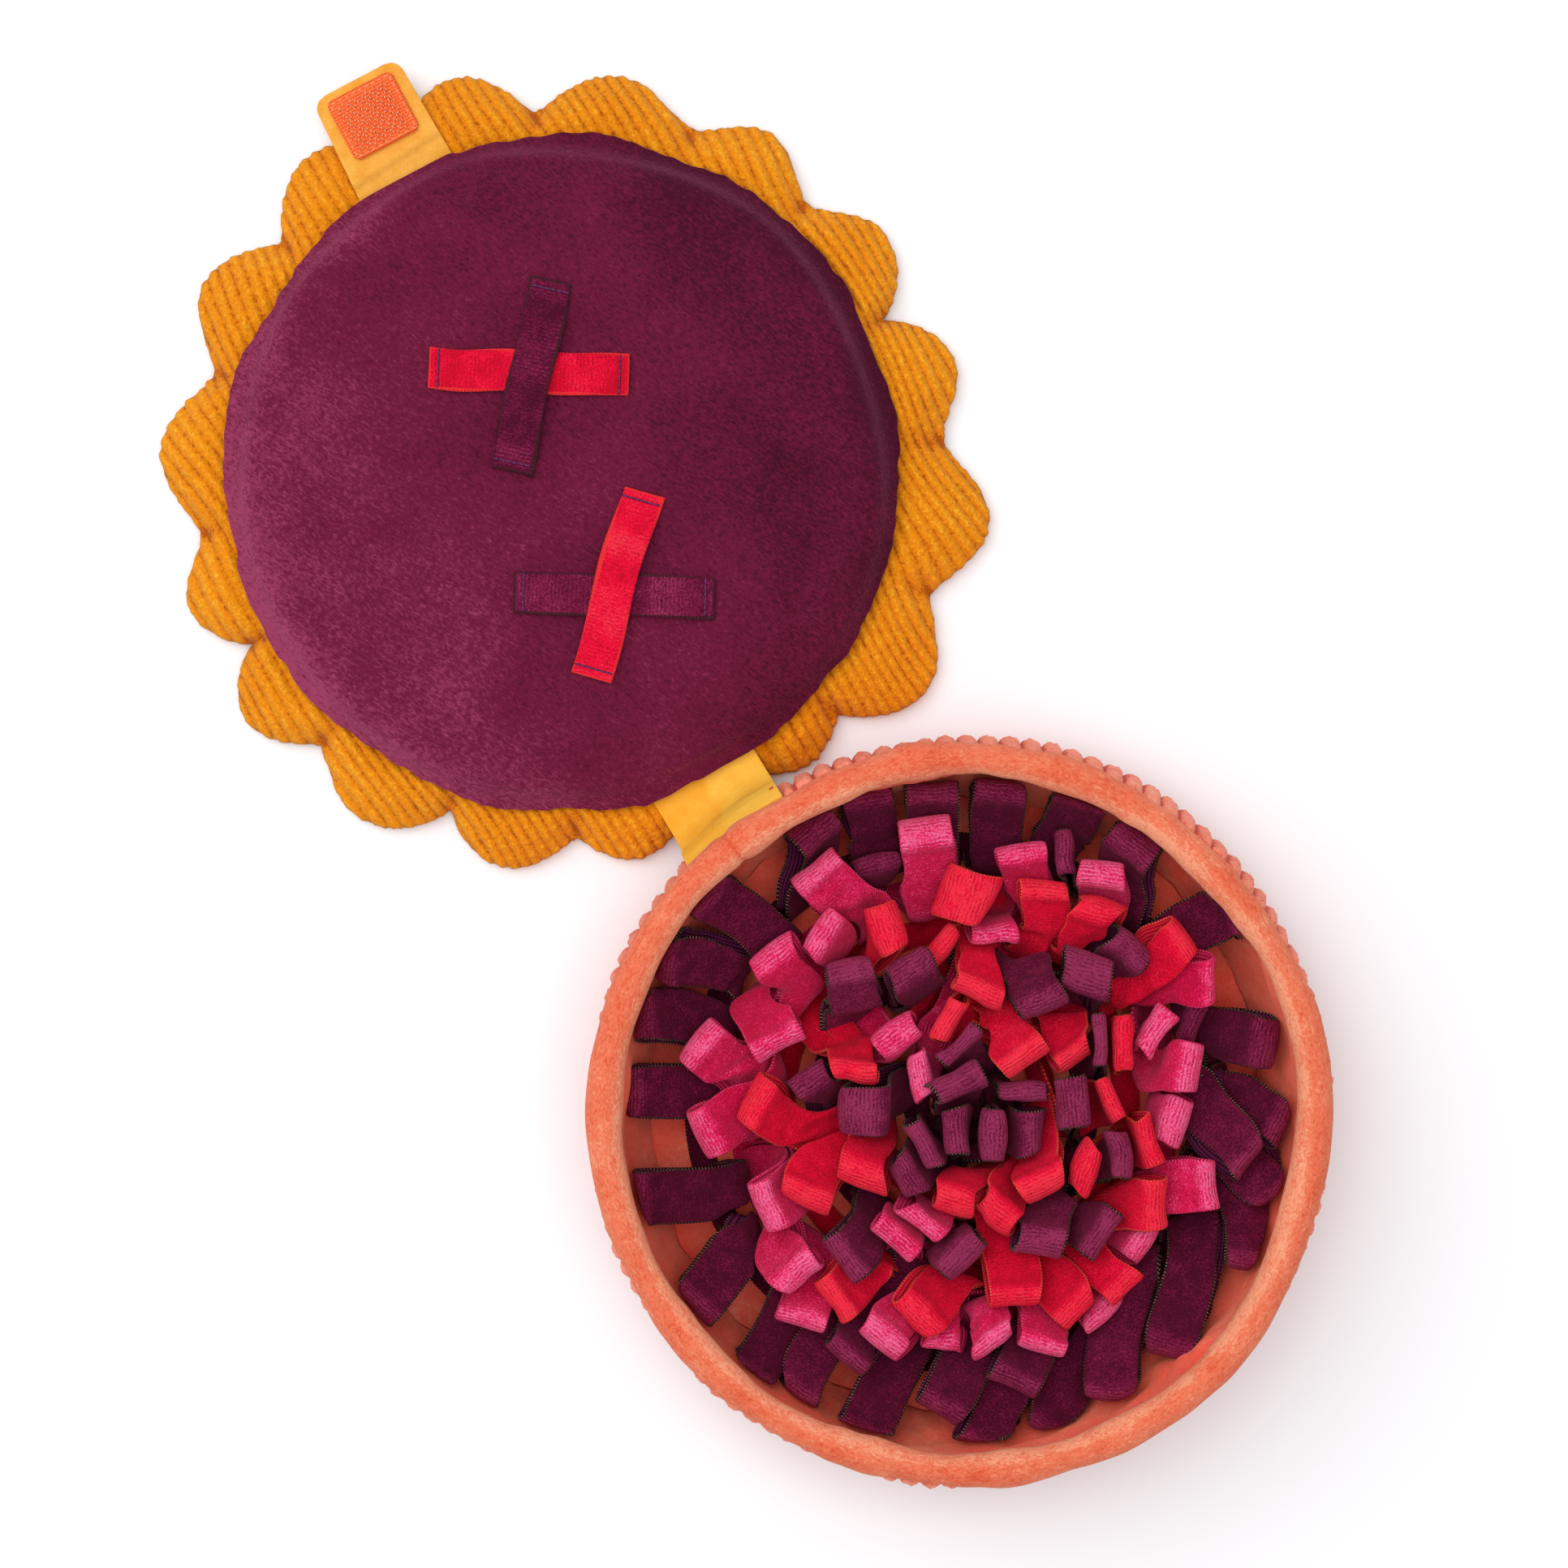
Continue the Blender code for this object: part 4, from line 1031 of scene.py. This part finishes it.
def crustFaceShape(u, v):
    angle = np.radians(u * 360) + turnOfPhoto
    edge, away = outlineOf(u * 360)
    share, seam = 1 - v, lid["seamShare"]                 # the share is 1 at the scalloped edge
    rows = np.clip((share - seam) / (1 - seam), 0, 1)     # from the pad's seam outwards
    radius = np.where(share < seam, lid["seamRadius"] * share / seam,
                      lid["seamRadius"] + (edge - lid["seamRadius"]) * rows)
    x, y = radius * np.cos(angle), radius * np.sin(angle)
    dome = np.clip(1 - rows ** 2.5, 0, 1) ** 0.55
    crease = hump(np.radians(away) * radius, lid["creaseWidth"])
    crease = crease * (0.05 + 0.50 * rows ** 1.5) * smoothStep(rows, 0, 0.15)
    felt = underFelt(u * 360, radius)
    puff = lid["puff"] * np.sin(math.pi * np.clip(rows * 1.15, 0, 1)) * (1 - felt)
    swell = ripples(42, 0.03, x, y) * lid["swell"] * smoothStep(rows, 0.05, 0.4) * (1 - felt)
    top = lid["top"] + puff + swell
    z = lid["seamHeight"] + (top - lid["seamHeight"]) * dome * (1 - 0.85 * crease)
    wale = waleAt(x, y)
    rise = lid["waleHeight"] * (wale - 0.75) * smoothStep(rows, 0.0, 0.1) * (1 - 0.5 * felt)
    rise = rise + lid["waleKnobs"] * ripples(43, 0.0036, x, y, waves=14) * wale
    slope = rows ** 2.2
    z = z + rise * (1 - 0.6 * slope)
    z = np.where(felt > 0.5, np.minimum(z, lid["feltTop"]), z)
    return around(radius + rise * slope, angle, z, lidMiddle)


def crustBackShape(u, v):
    # from the middle (v = 0) to the scalloped edge
    angle = np.radians(u * 360) + turnOfPhoto
    edge, away = outlineOf(u * 360)
    radius = (edge - 0.0003) * v
    x, y = radius * np.cos(angle), radius * np.sin(angle)
    out = np.clip((radius - lid["seamRadius"]) / np.maximum(edge - lid["seamRadius"], 0.001), 0, 1)
    crease = hump(np.radians(away) * radius, lid["backCrease"]) * out
    fall = lid["seamHeight"] * np.clip(1 - out ** 3, 0, 1) ** 0.6 * (1 - 0.7 * crease)
    z = lid["seamHeight"] - fall + 0.0005 * (1 - waleAt(x, y))
    return around(radius, angle, np.maximum(z, 0.00005), lidMiddle)


filling = {"inset": 0.007, "middle": 0.0050, "halfHeight": 0.0032, "crease": 0.006}


def crustWaddingShape(u, v):
    angle, turn = np.radians(u * 360) + turnOfPhoto, (v - 0.5) * math.pi
    edge, away = outlineOf(u * 360)
    crease = hump(np.radians(away) * edge, filling["crease"])
    z = filling["middle"] + filling["halfHeight"] * (1 - 0.85 * crease) * np.sin(turn)
    return around((edge - filling["inset"]) * np.cos(turn) ** 0.35, angle, z, lidMiddle)


def crustSheet(name, columns, rows, shape, thickness, node):
    piece = gridPiece(name, columns, rows, shape)
    weld(piece, outward=False)
    points = pointsOf(piece)
    x, y = points[:, 0] - centreX, points[:, 1] - centreY
    edge, away = outlineOf(np.degrees(np.arctan2(y, x)) + photoTurn)
    putValues(piece, "phase", walePhase(x, y))
    near = smoothStep(np.hypot(x, y) / edge, 0.90, 1.0)
    # painted shade: the valleys' creases near the edge are painted darker
    putValues(piece, "crease", hump(away, lid["creaseShade"]) * near)
    thicken(piece, thickness)
    return settle(piece, "lid", mustardCorduroy, "mustard_corduroy", node)


crustFace = crustSheet("crustFace", 900, 44, crustFaceShape, lid["faceCloth"], "crust_face")
crustBack = crustSheet("crustBack", 720, 60, crustBackShape, lid["backCloth"], "crust_back")
crustWadding = gridPiece("crustWadding", 240, 16, crustWaddingShape)
closeUp(crustWadding, "lid", whiteWadding, "wadding", "crust_wadding", outward=True)
print("crust made")


# lid: plush pad
pad = {"radius": 0.1180, "low": 0.0144, "height": 0.0145, "voxel": 0.005, "pucker": 0.0006,
       # the flat pebble that it starts from: how far it stays inside that radius and height
       "startInset": 0.0025, "startMiddle": 0.0040, "startDrop": 0.0068, "startUnder": 0.0035,
       # inner pressure and frames of the cloth run, height up to which it is sewn fast, most swell
       "pressure": 4.0, "frames": 20, "sewnHeight": 0.0022, "cap": 0.0035,
       # room that the shoulder leaves for the bowl's rim, and how softly it gives way
       "rimRoom": 0.0075, "rimFall": 2.5, "blend": 0.0026,
       # heading in degrees of the side that a painted sheen makes paler
       "sheenFrom": 205}


def padStart(u, v):
    # closed flat pebble: the underside is level, and the crown falls to a rolled edge
    turn = (v - 0.5) * math.pi
    radius = (pad["radius"] - pad["startInset"]) * np.clip(np.cos(turn), 0, 1) ** 0.42
    up = np.sin(turn)
    crown = np.abs(up) ** 0.62 * (pad["height"] - pad["startDrop"])
    height = np.where(up > 0, crown, up * pad["startUnder"])
    return around(radius, u * tau, pad["low"] + pad["startMiddle"] + height, lidMiddle)


def inflate(piece):
    start = pointsOf(piece)
    sewn = piece.vertex_groups.new(name="sewn")
    low = np.flatnonzero(start[:, 2] < pad["low"] + pad["sewnHeight"])
    sewn.add([int(k) for k in low], 1.0, "REPLACE")
    choose(piece)
    modifier = piece.modifiers.new("swell", "CLOTH")
    modifier.settings.use_pressure = True
    modifier.settings.uniform_pressure_force = pad["pressure"]
    modifier.settings.vertex_group_mass = "sewn"
    modifier.settings.effector_weights.gravity = 0
    modifier.settings.quality = 6
    modifier.point_cache.frame_start, modifier.point_cache.frame_end = 1, pad["frames"]
    scene = bpy.context.scene
    for number in range(1, pad["frames"] + 1):
        scene.frame_set(number)
    bpy.ops.object.modifier_apply(modifier=modifier.name)
    scene.frame_set(1)
    moved = pointsOf(piece) - start
    far = np.linalg.norm(moved, axis=1)
    print("pad swelled by", round(float(far.max()) * 1000, 1), "mm before the cap")
    movePoints(piece, start + moved * np.minimum(1, pad["cap"] / np.maximum(far, 1e-6))[:, None])


padCover = gridPiece("padCover", 120, 40, padStart)
weld(padCover)
modify(padCover, "REMESH", mode="VOXEL", voxel_size=pad["voxel"])
inflate(padCover)
modify(padCover, "SMOOTH", factor=0.5, iterations=10)
subdivide(padCover, 2)
places = pointsOf(padCover)
offX, offY = places[:, 0] - centreX, places[:, 1] - centreY
reach, headings = np.hypot(offX, offY), np.arctan2(offY, offX)
# the sewn size: the widest points lie at the pad's radius, and the crown at its height
spokes = np.linspace(-3.1, 3.1, 120)
widest = np.array([reach[np.abs(headings - turn) < 0.03].max() for turn in spokes])
fit = (pad["radius"] - 0.0006) / np.interp(headings, spokes, widest)
tall = pad["height"] / (np.percentile(places[:, 2], 99) - pad["low"])
print("pad fitted by", round(float(fit.mean()), 3), "across and", round(float(tall), 3), "up")
offX, offY, reach = offX * fit, offY * fit, reach * fit
z = pad["low"] + (places[:, 2] - pad["low"]) * tall
ringX, ringY = 0.117 * np.cos(headings), 0.117 * np.sin(headings)
edgeShare = smoothStep(reach, pad["radius"] - 0.016, pad["radius"] - 0.002)
tuck = edgeShare * ripples(52, 0.04, ringX, ringY) * pad["pucker"]
swell = 0.0005 * ripples(53, 0.06, offX, offY) + 0.00025 * ripples(54, 0.02, offX, offY)
widen = 1 + (tuck + 0.0006 * ripples(55, 0.09, ringX, ringY) * edgeShare) / np.maximum(reach, 0.02)
z = z + (swell - 0.4 * tuck) * smoothStep(z, pad["low"] + 0.003, pad["low"] + 0.008)
# the shoulder stays clear of the bowl's rim, which it rests on when the lid is shut
rimMiddle, rimLevel = rimCentre(-headings)
inRim = np.hypot(offX * widen, offY * widen) - rimMiddle
rimTop = rimLevel + np.sqrt(np.clip(pad["rimRoom"] ** 2 - inRim ** 2, 0, None))
ceiling = 2 * strap["hingeZ"] - rimTop + pad["rimFall"] * np.clip(-pad["rimRoom"] - inRim, 0, None)
over = z - ceiling
z = np.maximum(z - (over + np.sqrt(over ** 2 + pad["blend"] ** 2)) / 2, pad["low"])
movePoints(padCover, np.stack((centreX + offX * widen, centreY + offY * widen, z), axis=1))
modify(padCover, "SMOOTH", factor=0.5, iterations=6)
# painted sheen: the pad is painted paler towards that heading and a little at its rolled edge,
# darker on the far side
lean = np.cos(headings - turnOfPhoto - math.radians(pad["sheenFrom"]))
putValues(padCover, "tone", smoothStep(reach, 0.098, 0.117) * (0.10 + 0.55 * lean)
          + 0.50 * lean * smoothStep(reach, 0.02, 0.10) - 0.12)
weld(padCover, 1e-7)
settle(padCover, "lid", purplePlush, "purple_plush", "pad_cover")

padFilling = gridPiece("padFilling", 96, 24, padStart)
weld(padFilling)
places = pointsOf(padFilling)
places[:, :2] = (places[:, :2] - lidMiddle) * 0.92 + lidMiddle
places[:, 2] = pad["low"] + 0.003 + (places[:, 2] - pad["low"]) * 0.55
movePoints(padFilling, places)
settle(padFilling, "lid", whiteWadding, "wadding", "pad_filling")
print("pad made")

padTree = BVHTree.FromPolygons([Vector(p) for p in pointsOf(padCover)],
                               [tuple(face.vertices) for face in padCover.data.polygons])


def padHeight(x, y):
    hit = padTree.ray_cast(Vector((x, y, 0.2)), Vector((0, 0, -1)))[0]
    return hit.z if hit else pad["low"]


# lid: crossed ribbon strips
strips = {
    "width": 0.0143, "thickness": 0.0011, "lift": 0.0004, "overLift": 0.0022, "border": 0.06,
    "sway": 0.0005, "arch": 0.0006, "wave": 0.0003, "crown": 0.0005, "stitchDip": 0.0003,
    "stitchFromEnd": 0.0032, "stitches": 6, "stitchSize": (0.0030, 0.0008, 0.0009),
    # photo ends of each strip's middle line, 1 where it lies over the other, colour, tone and node
    "rows": (("crossOneUnder", (528.5, 453.5), (775, 462), 0.0, "red", -0.4, "cross_1_under"),
             ("crossOneOver", (680.5, 345.5), (628, 580.5), 1.0, "dark", -0.5, "cross_1_over"),
             ("crossTwoUnder", (633.5, 729.5), (880.5, 736.5), 0.0, "dark", 0.4, "cross_2_under"),
             ("crossTwoOver", (793, 606), (728, 835), 1.0, "red", 0.4, "cross_2_over")),
}


def addStitches(name, spots, size, finish, slot, body):
    # one short thread arch, copied to each spot (place and direction)
    deselectAll()
    parts = []
    for place, way in spots:
        bpy.ops.mesh.primitive_uv_sphere_add(segments=8, ring_count=5, radius=0.5)
        stitch = bpy.context.object
        turn = Vector((1, 0, 0)).rotation_difference(way).to_matrix().to_4x4()
        stitch.data.transform(Matrix.Translation(place) @ turn @ Matrix.Diagonal((*size, 1)))
        parts.append(stitch)
    deselectAll()
    for stitch in parts:
        stitch.select_set(True)
    bpy.context.view_layer.objects.active = parts[0]
    bpy.ops.object.join()
    parts[0].name = parts[0].data.name = name
    settle(parts[0], body, finish, slot)


def sewStrip(row, name, first, second, over, colour, tone, node):
    start, end = [Vector(fromPhoto(*place, 0.030)).to_3d() for place in (first, second)]
    length, along = (end - start).length, (end - start).normalized()
    across = Vector((-along.y, along.x, 0))

    def shape(u, v):
        sway = strips["sway"] * ripples(60 + row, 0.05, u * length, v * 0)
        sideways = (v - 0.5) * strips["width"] + sway
        x = start.x + along.x * u * length + across.x * sideways
        y = start.y + along.y * u * length + across.y * sideways
        ground = np.array([padHeight(a, b) for a, b in zip(x, y)])
        fromEnd = np.minimum(u, 1 - u) * length
        arch = smoothStep(fromEnd, 0.004, 0.013)
        wave = strips["wave"] * ripples(70 + row, 0.03, u * length, v * 0.02)
        z = ground + strips["lift"] + arch * (strips["arch"] + wave)
        z = z + strips["crown"] * (1 - (2 * v - 1) ** 2) * smoothStep(fromEnd, 0.0035, 0.008)
        z = z - strips["stitchDip"] * hump(fromEnd - strips["stitchFromEnd"], 0.0007)
        return x, y, z + over * strips["overLift"] * hump(u - 0.5, 0.26) * arch

    strip = gridPiece(name, 68, 14, shape)
    offset = pointsOf(strip) - np.array(start)
    onward, aside = offset @ np.array(along), np.abs(offset @ np.array(across))
    half, toEnd = strips["width"] / 2, np.minimum(onward, length - onward)
    putValues(strip, "along", onward)
    putValues(strip, "across", np.maximum(aside, half - toEnd) / half + strips["border"])
    # painted sheen: the strips take part of the bends' paler painted sheen, uneven along them
    putValues(strip, "bend", 0.55 + 0.1 * ripples(80 + row, 0.02, onward))
    putValues(strip, "tone", np.full(len(offset), tone))
    if strip.data.polygons[0].normal.z < 0:
        strip.data.flip_normals()
    ribbonLook(strip, colour, "lid", node, strips["thickness"], 1)
    spots = []
    for reach in (strips["stitchFromEnd"], length - strips["stitchFromEnd"]):
        for k in range(strips["stitches"]):
            side = ((k + 0.5) / strips["stitches"] - 0.5) * strips["width"] * 0.92
            spot = start + along * reach + across * side
            spot.z = padHeight(spot.x, spot.y) + strips["lift"] + strips["thickness"]
            spots.append((spot, across))
    addStitches(name + "Stitches", spots, strips["stitchSize"], purpleThread, "purple_plush", "lid")


for row, values in enumerate(strips["rows"]):
    sewStrip(row, *values)
print("crosses made")


# felt strap across the hinge
def strapPath():
    # share of the length, y and z, down from the bowl's rim to the seam under the pad
    hangY, bend, low = strap["hingeY"] - strap["slack"], strap["bend"], strap["feltMiddle"]
    path = [(0.0, 0.1226, strap["wallTop"]), (0.08, 0.1262, 0.0520), (0.16, hangY, strap["hingeZ"]),
            (0.38, hangY + 0.0004, low + bend)]
    for k in range(1, 9):
        turn = math.pi / 2 * k / 8
        path.append((0.38 + 0.32 * k / 8, hangY + bend * (1 - math.cos(turn)),
                     low + bend * (1 - math.sin(turn))))
    return zip(*path, (1.0, strap["runEnd"], low))


def strapShape(u, v):
    x = strap["offset"] + (u - 0.5) * strap["width"]
    shares, ys, zs = strapPath()
    y, z = np.interp(1 - v, shares, ys), np.interp(1 - v, shares, zs)
    # the upper run follows the round wall
    wall = bowl["footRadius"] + strap["fromWall"]
    y = y + (np.sqrt(wall ** 2 - x ** 2) - wall) * (1 - smoothStep(1 - v, 0.36, 0.68))
    y = y + 0.0003 * ripples(91, 0.02, x, z) * smoothStep(v, 0.3, 0.5) * smoothStep(1 - v, 0.2, 0.3)
    # a lengthwise crease: the felt lies a little higher on one side of it, and painted light makes
    # that side paler than the other
    step = np.tanh((x - strap["crease"]) / 0.0007) * smoothStep(1 - v, 0.45, 0.6)
    return x, y, z + strap["ridge"] * step, {"tone": 0.3 * np.tanh((x - strap["crease"]) / 0.0006)}


feltStrap = gridPiece("feltStrap", 36, 72, strapShape)
thicken(feltStrap, strap["thickness"], 0)
softenEdges(feltStrap, 0.0004)
settle(feltStrap, None, strapFelt, "yellow_felt", "hinge_strap_bowl", "hinge_strap_lid")
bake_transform(feltStrap)
# a short red thread shows by the strap's corner
threadPlace = Vector((0.0038, 0.1271, 0.0526))
threadWays = (Vector((1, 0.1, -0.25)).normalized(), Vector((0.5, -0.3, 0.8)).normalized())
addStitches("strapStitch", [(threadPlace, way) for way in threadWays], (0.0021, 0.0005, 0.0005),
            redThread, "red_ribbon", "bowl")
print("strap made")


# closure tab and hook patch
tab = {"turn": math.radians(-4), "rootRadius": 0.112, "seamRadius": 0.1175, "foldRadius": 0.1281,
       "foldZ": 0.014, "blendReach": 0.0015, "reach": 0.155, "rootWidth": 0.036, "tipWidth": 0.033,
       "corner": 0.0048, "thickness": 0.0019, "middle": 0.0130, "wave": 0.0004,
       "ridge": 0.0012, "ridgeOut": 0.1245, "ridgeSlant": 0.09, "ridgeWidth": 0.0016}
tabTop = tab["middle"] + tab["thickness"] / 2
hooks = {"width": 0.025, "length": 0.0225, "thickness": 0.0011, "start": 0.1293, "chamfer": 0.0015,
         "border": 0.0026, "pitch": 0.0015, "radius": 0.00024,
         # way out and height of each ring of a bent hook
         "line": ((0, 0), (0.0001, 0.0007), (0.0005, 0.0012), (0.0010, 0.0009)),
         "stitchInset": 0.0011, "stitchSize": (0.0019, 0.0004, 0.0005)}
patchTop = tabTop + 0.0004 + hooks["thickness"]
tabCos, tabSin = math.cos(tab["turn"]), math.sin(tab["turn"])


def onTab(side, out, z):
    # side across the tab, out from the lid's middle
    return centreX + side * tabCos - out * tabSin, centreY + side * tabSin + out * tabCos, z


def tabDroop(side, out):
    # a low ridge over the seam, and a wavy free end
    ridge = tab["ridge"] * hump(out - tab["ridgeOut"] - tab["ridgeSlant"] * side, tab["ridgeWidth"])
    return tab["wave"] * ripples(95, 0.03, side, out) * smoothStep(out, 0.128, 0.135) + ridge


def tabShape(u, v):
    out = tab["rootRadius"] + (tab["reach"] - tab["rootRadius"]) * v
    share = np.clip((out - tab["seamRadius"]) / (tab["reach"] - tab["seamRadius"]), 0, 1)
    half = 0.5 * (tab["rootWidth"] + (tab["tipWidth"] - tab["rootWidth"]) * share)
    corner = tab["corner"]
    left = np.clip(tab["reach"] - out, 0, corner)
    half = half - corner + np.sqrt(np.clip(corner ** 2 - (corner - left) ** 2, 0, None))
    side = (2 * u - 1) * half
    x, y, z = onTab(side, out, tab["middle"])
    return x, y, z + tabDroop(side, out)


closureTab = gridPiece("closureTab", 30, 60, tabShape)
thicken(closureTab, tab["thickness"], 0)
softenEdges(closureTab, 0.0004)
settle(closureTab, None, tabFelt, "tab_felt", "tab_root", "tab_flap")
onTab(0, tab["foldRadius"] - tab["blendReach"], tab["foldZ"])
onTab(0, tab["foldRadius"] + tab["blendReach"], tab["foldZ"])
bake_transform(closureTab)


def patchShape(u, v):
    out = hooks["start"] + hooks["length"] * v
    toEnd = np.minimum(v, 1 - v) * hooks["length"]
    half = hooks["width"] / 2 - np.maximum(0, hooks["chamfer"] - toEnd)
    side = (2 * u - 1) * half
    edge = np.minimum(np.minimum(u, 1 - u) * hooks["width"], toEnd)
    puff = 0.0002 * smoothStep(edge, 0, 0.0015)
    x, y, z = onTab(side, out, tabTop + 0.0003)
    return x, y, z + tabDroop(side, out) + puff, {"side": side, "reach": out}


hookPatch = gridPiece("hookPatch", 40, 34, patchShape)
thicken(hookPatch, hooks["thickness"], 1)
settle(hookPatch, "tab", hookGround, "hook_tape", "hook_patch")


def hookField():
    # bent hooks of four short rings each, over the patch in staggered rows
    picks = np.random.default_rng(96)
    vertices, faces = [], []
    pitch, border, size = hooks["pitch"], hooks["border"], hooks["radius"]
    columns = int((hooks["width"] - 2 * border) / pitch)
    rows = int((hooks["length"] - 2 * border) / pitch)
    for i in range(columns):
        for j in range(rows + 1):
            side = -hooks["width"] / 2 + border + (i + (j % 2) * 0.5) * pitch
            out = hooks["start"] + border + j * pitch
            way, spin, base = 1 if i % 2 else -1, picks.uniform(-0.25, 0.25), len(vertices)
            for forward, up in hooks["line"]:
                for k in range(4):
                    a = side + size * math.cos(math.pi / 2 * k) + forward * math.sin(spin)
                    b = out + way * forward + size * math.sin(math.pi / 2 * k)
                    vertices.append(onTab(a, b, patchTop + up))
            for ring in range(base, base + 12, 4):
                for k in range(4):
                    a, b = ring + k, ring + (k + 1) % 4
                    faces.append((a, b, b + 4, a + 4))
            faces += [tuple(range(base + 12, base + 16)), tuple(range(base + 3, base - 1, -1))]
    settle(meshPiece("hookField", vertices, faces), "tab", hookGloss, "hook_tape")


hookField()
sideWay, outWay = Vector((tabCos, tabSin, 0)), Vector((-tabSin, tabCos, 0))
inset, spots = hooks["stitchInset"], []
for k in range(9):
    side = ((k + 0.5) / 9 - 0.5) * (hooks["width"] - 0.002)
    for out in (inset, hooks["length"] - inset):
        spots.append((Vector(onTab(side, hooks["start"] + out, patchTop)), sideWay))
for k in range(8):
    out = hooks["start"] + 0.0012 + (k + 0.5) / 8 * (hooks["length"] - 0.0024)
    for side in (inset - hooks["width"] / 2, hooks["width"] / 2 - inset):
        spots.append((Vector(onTab(side, out, patchTop)), outWay))
addStitches("hookPatchStitches", spots, hooks["stitchSize"], hookGloss, "hook_tape", "tab")
print("tab made")


# floor, lights and view
deselectAll()
bpy.ops.mesh.primitive_plane_add(size=6, location=(0, 0, -0.0002))
floor = bpy.context.object
floor.name = "floor"
paper = flatFinish("paper", 0.9, 0.1)
floor.data.materials.append(
    paper.dress(paper.blend(paint(242, 244, 246), paint(246, 248, 250), paper.noise(0.4, 2))))

lights = {"world": 0.57, "worldColour": (0.97, 0.98, 1.0, 1), "aim": (0.0, 0.12, 0.02),
          # name, place, power in watts and size in metres of each lamp
          "lamps": (("keyLamp", (-0.38, 0.92, 1.45), 12.5, 1.3),
                    ("topLamp", (0.06, 0.06, 1.6), 9.5, 0.9))}
world = bpy.context.scene.world or bpy.data.worlds.new("world")
bpy.context.scene.world = world
world.use_nodes = True
background = world.node_tree.nodes.get("Background")
background.inputs["Color"].default_value = lights["worldColour"]
background.inputs["Strength"].default_value = lights["world"]
for name, place, power, size in lights["lamps"]:
    data = bpy.data.lights.new(name, "AREA")
    data.energy, data.size = power, size
    lamp = addObject(name, data)
    lamp.location = place
    way = Vector(lights["aim"]) - Vector(place)
    lamp.rotation_euler = way.to_track_quat("-Z", "Y").to_euler()
bpy.context.scene.view_settings.view_transform = "Standard"
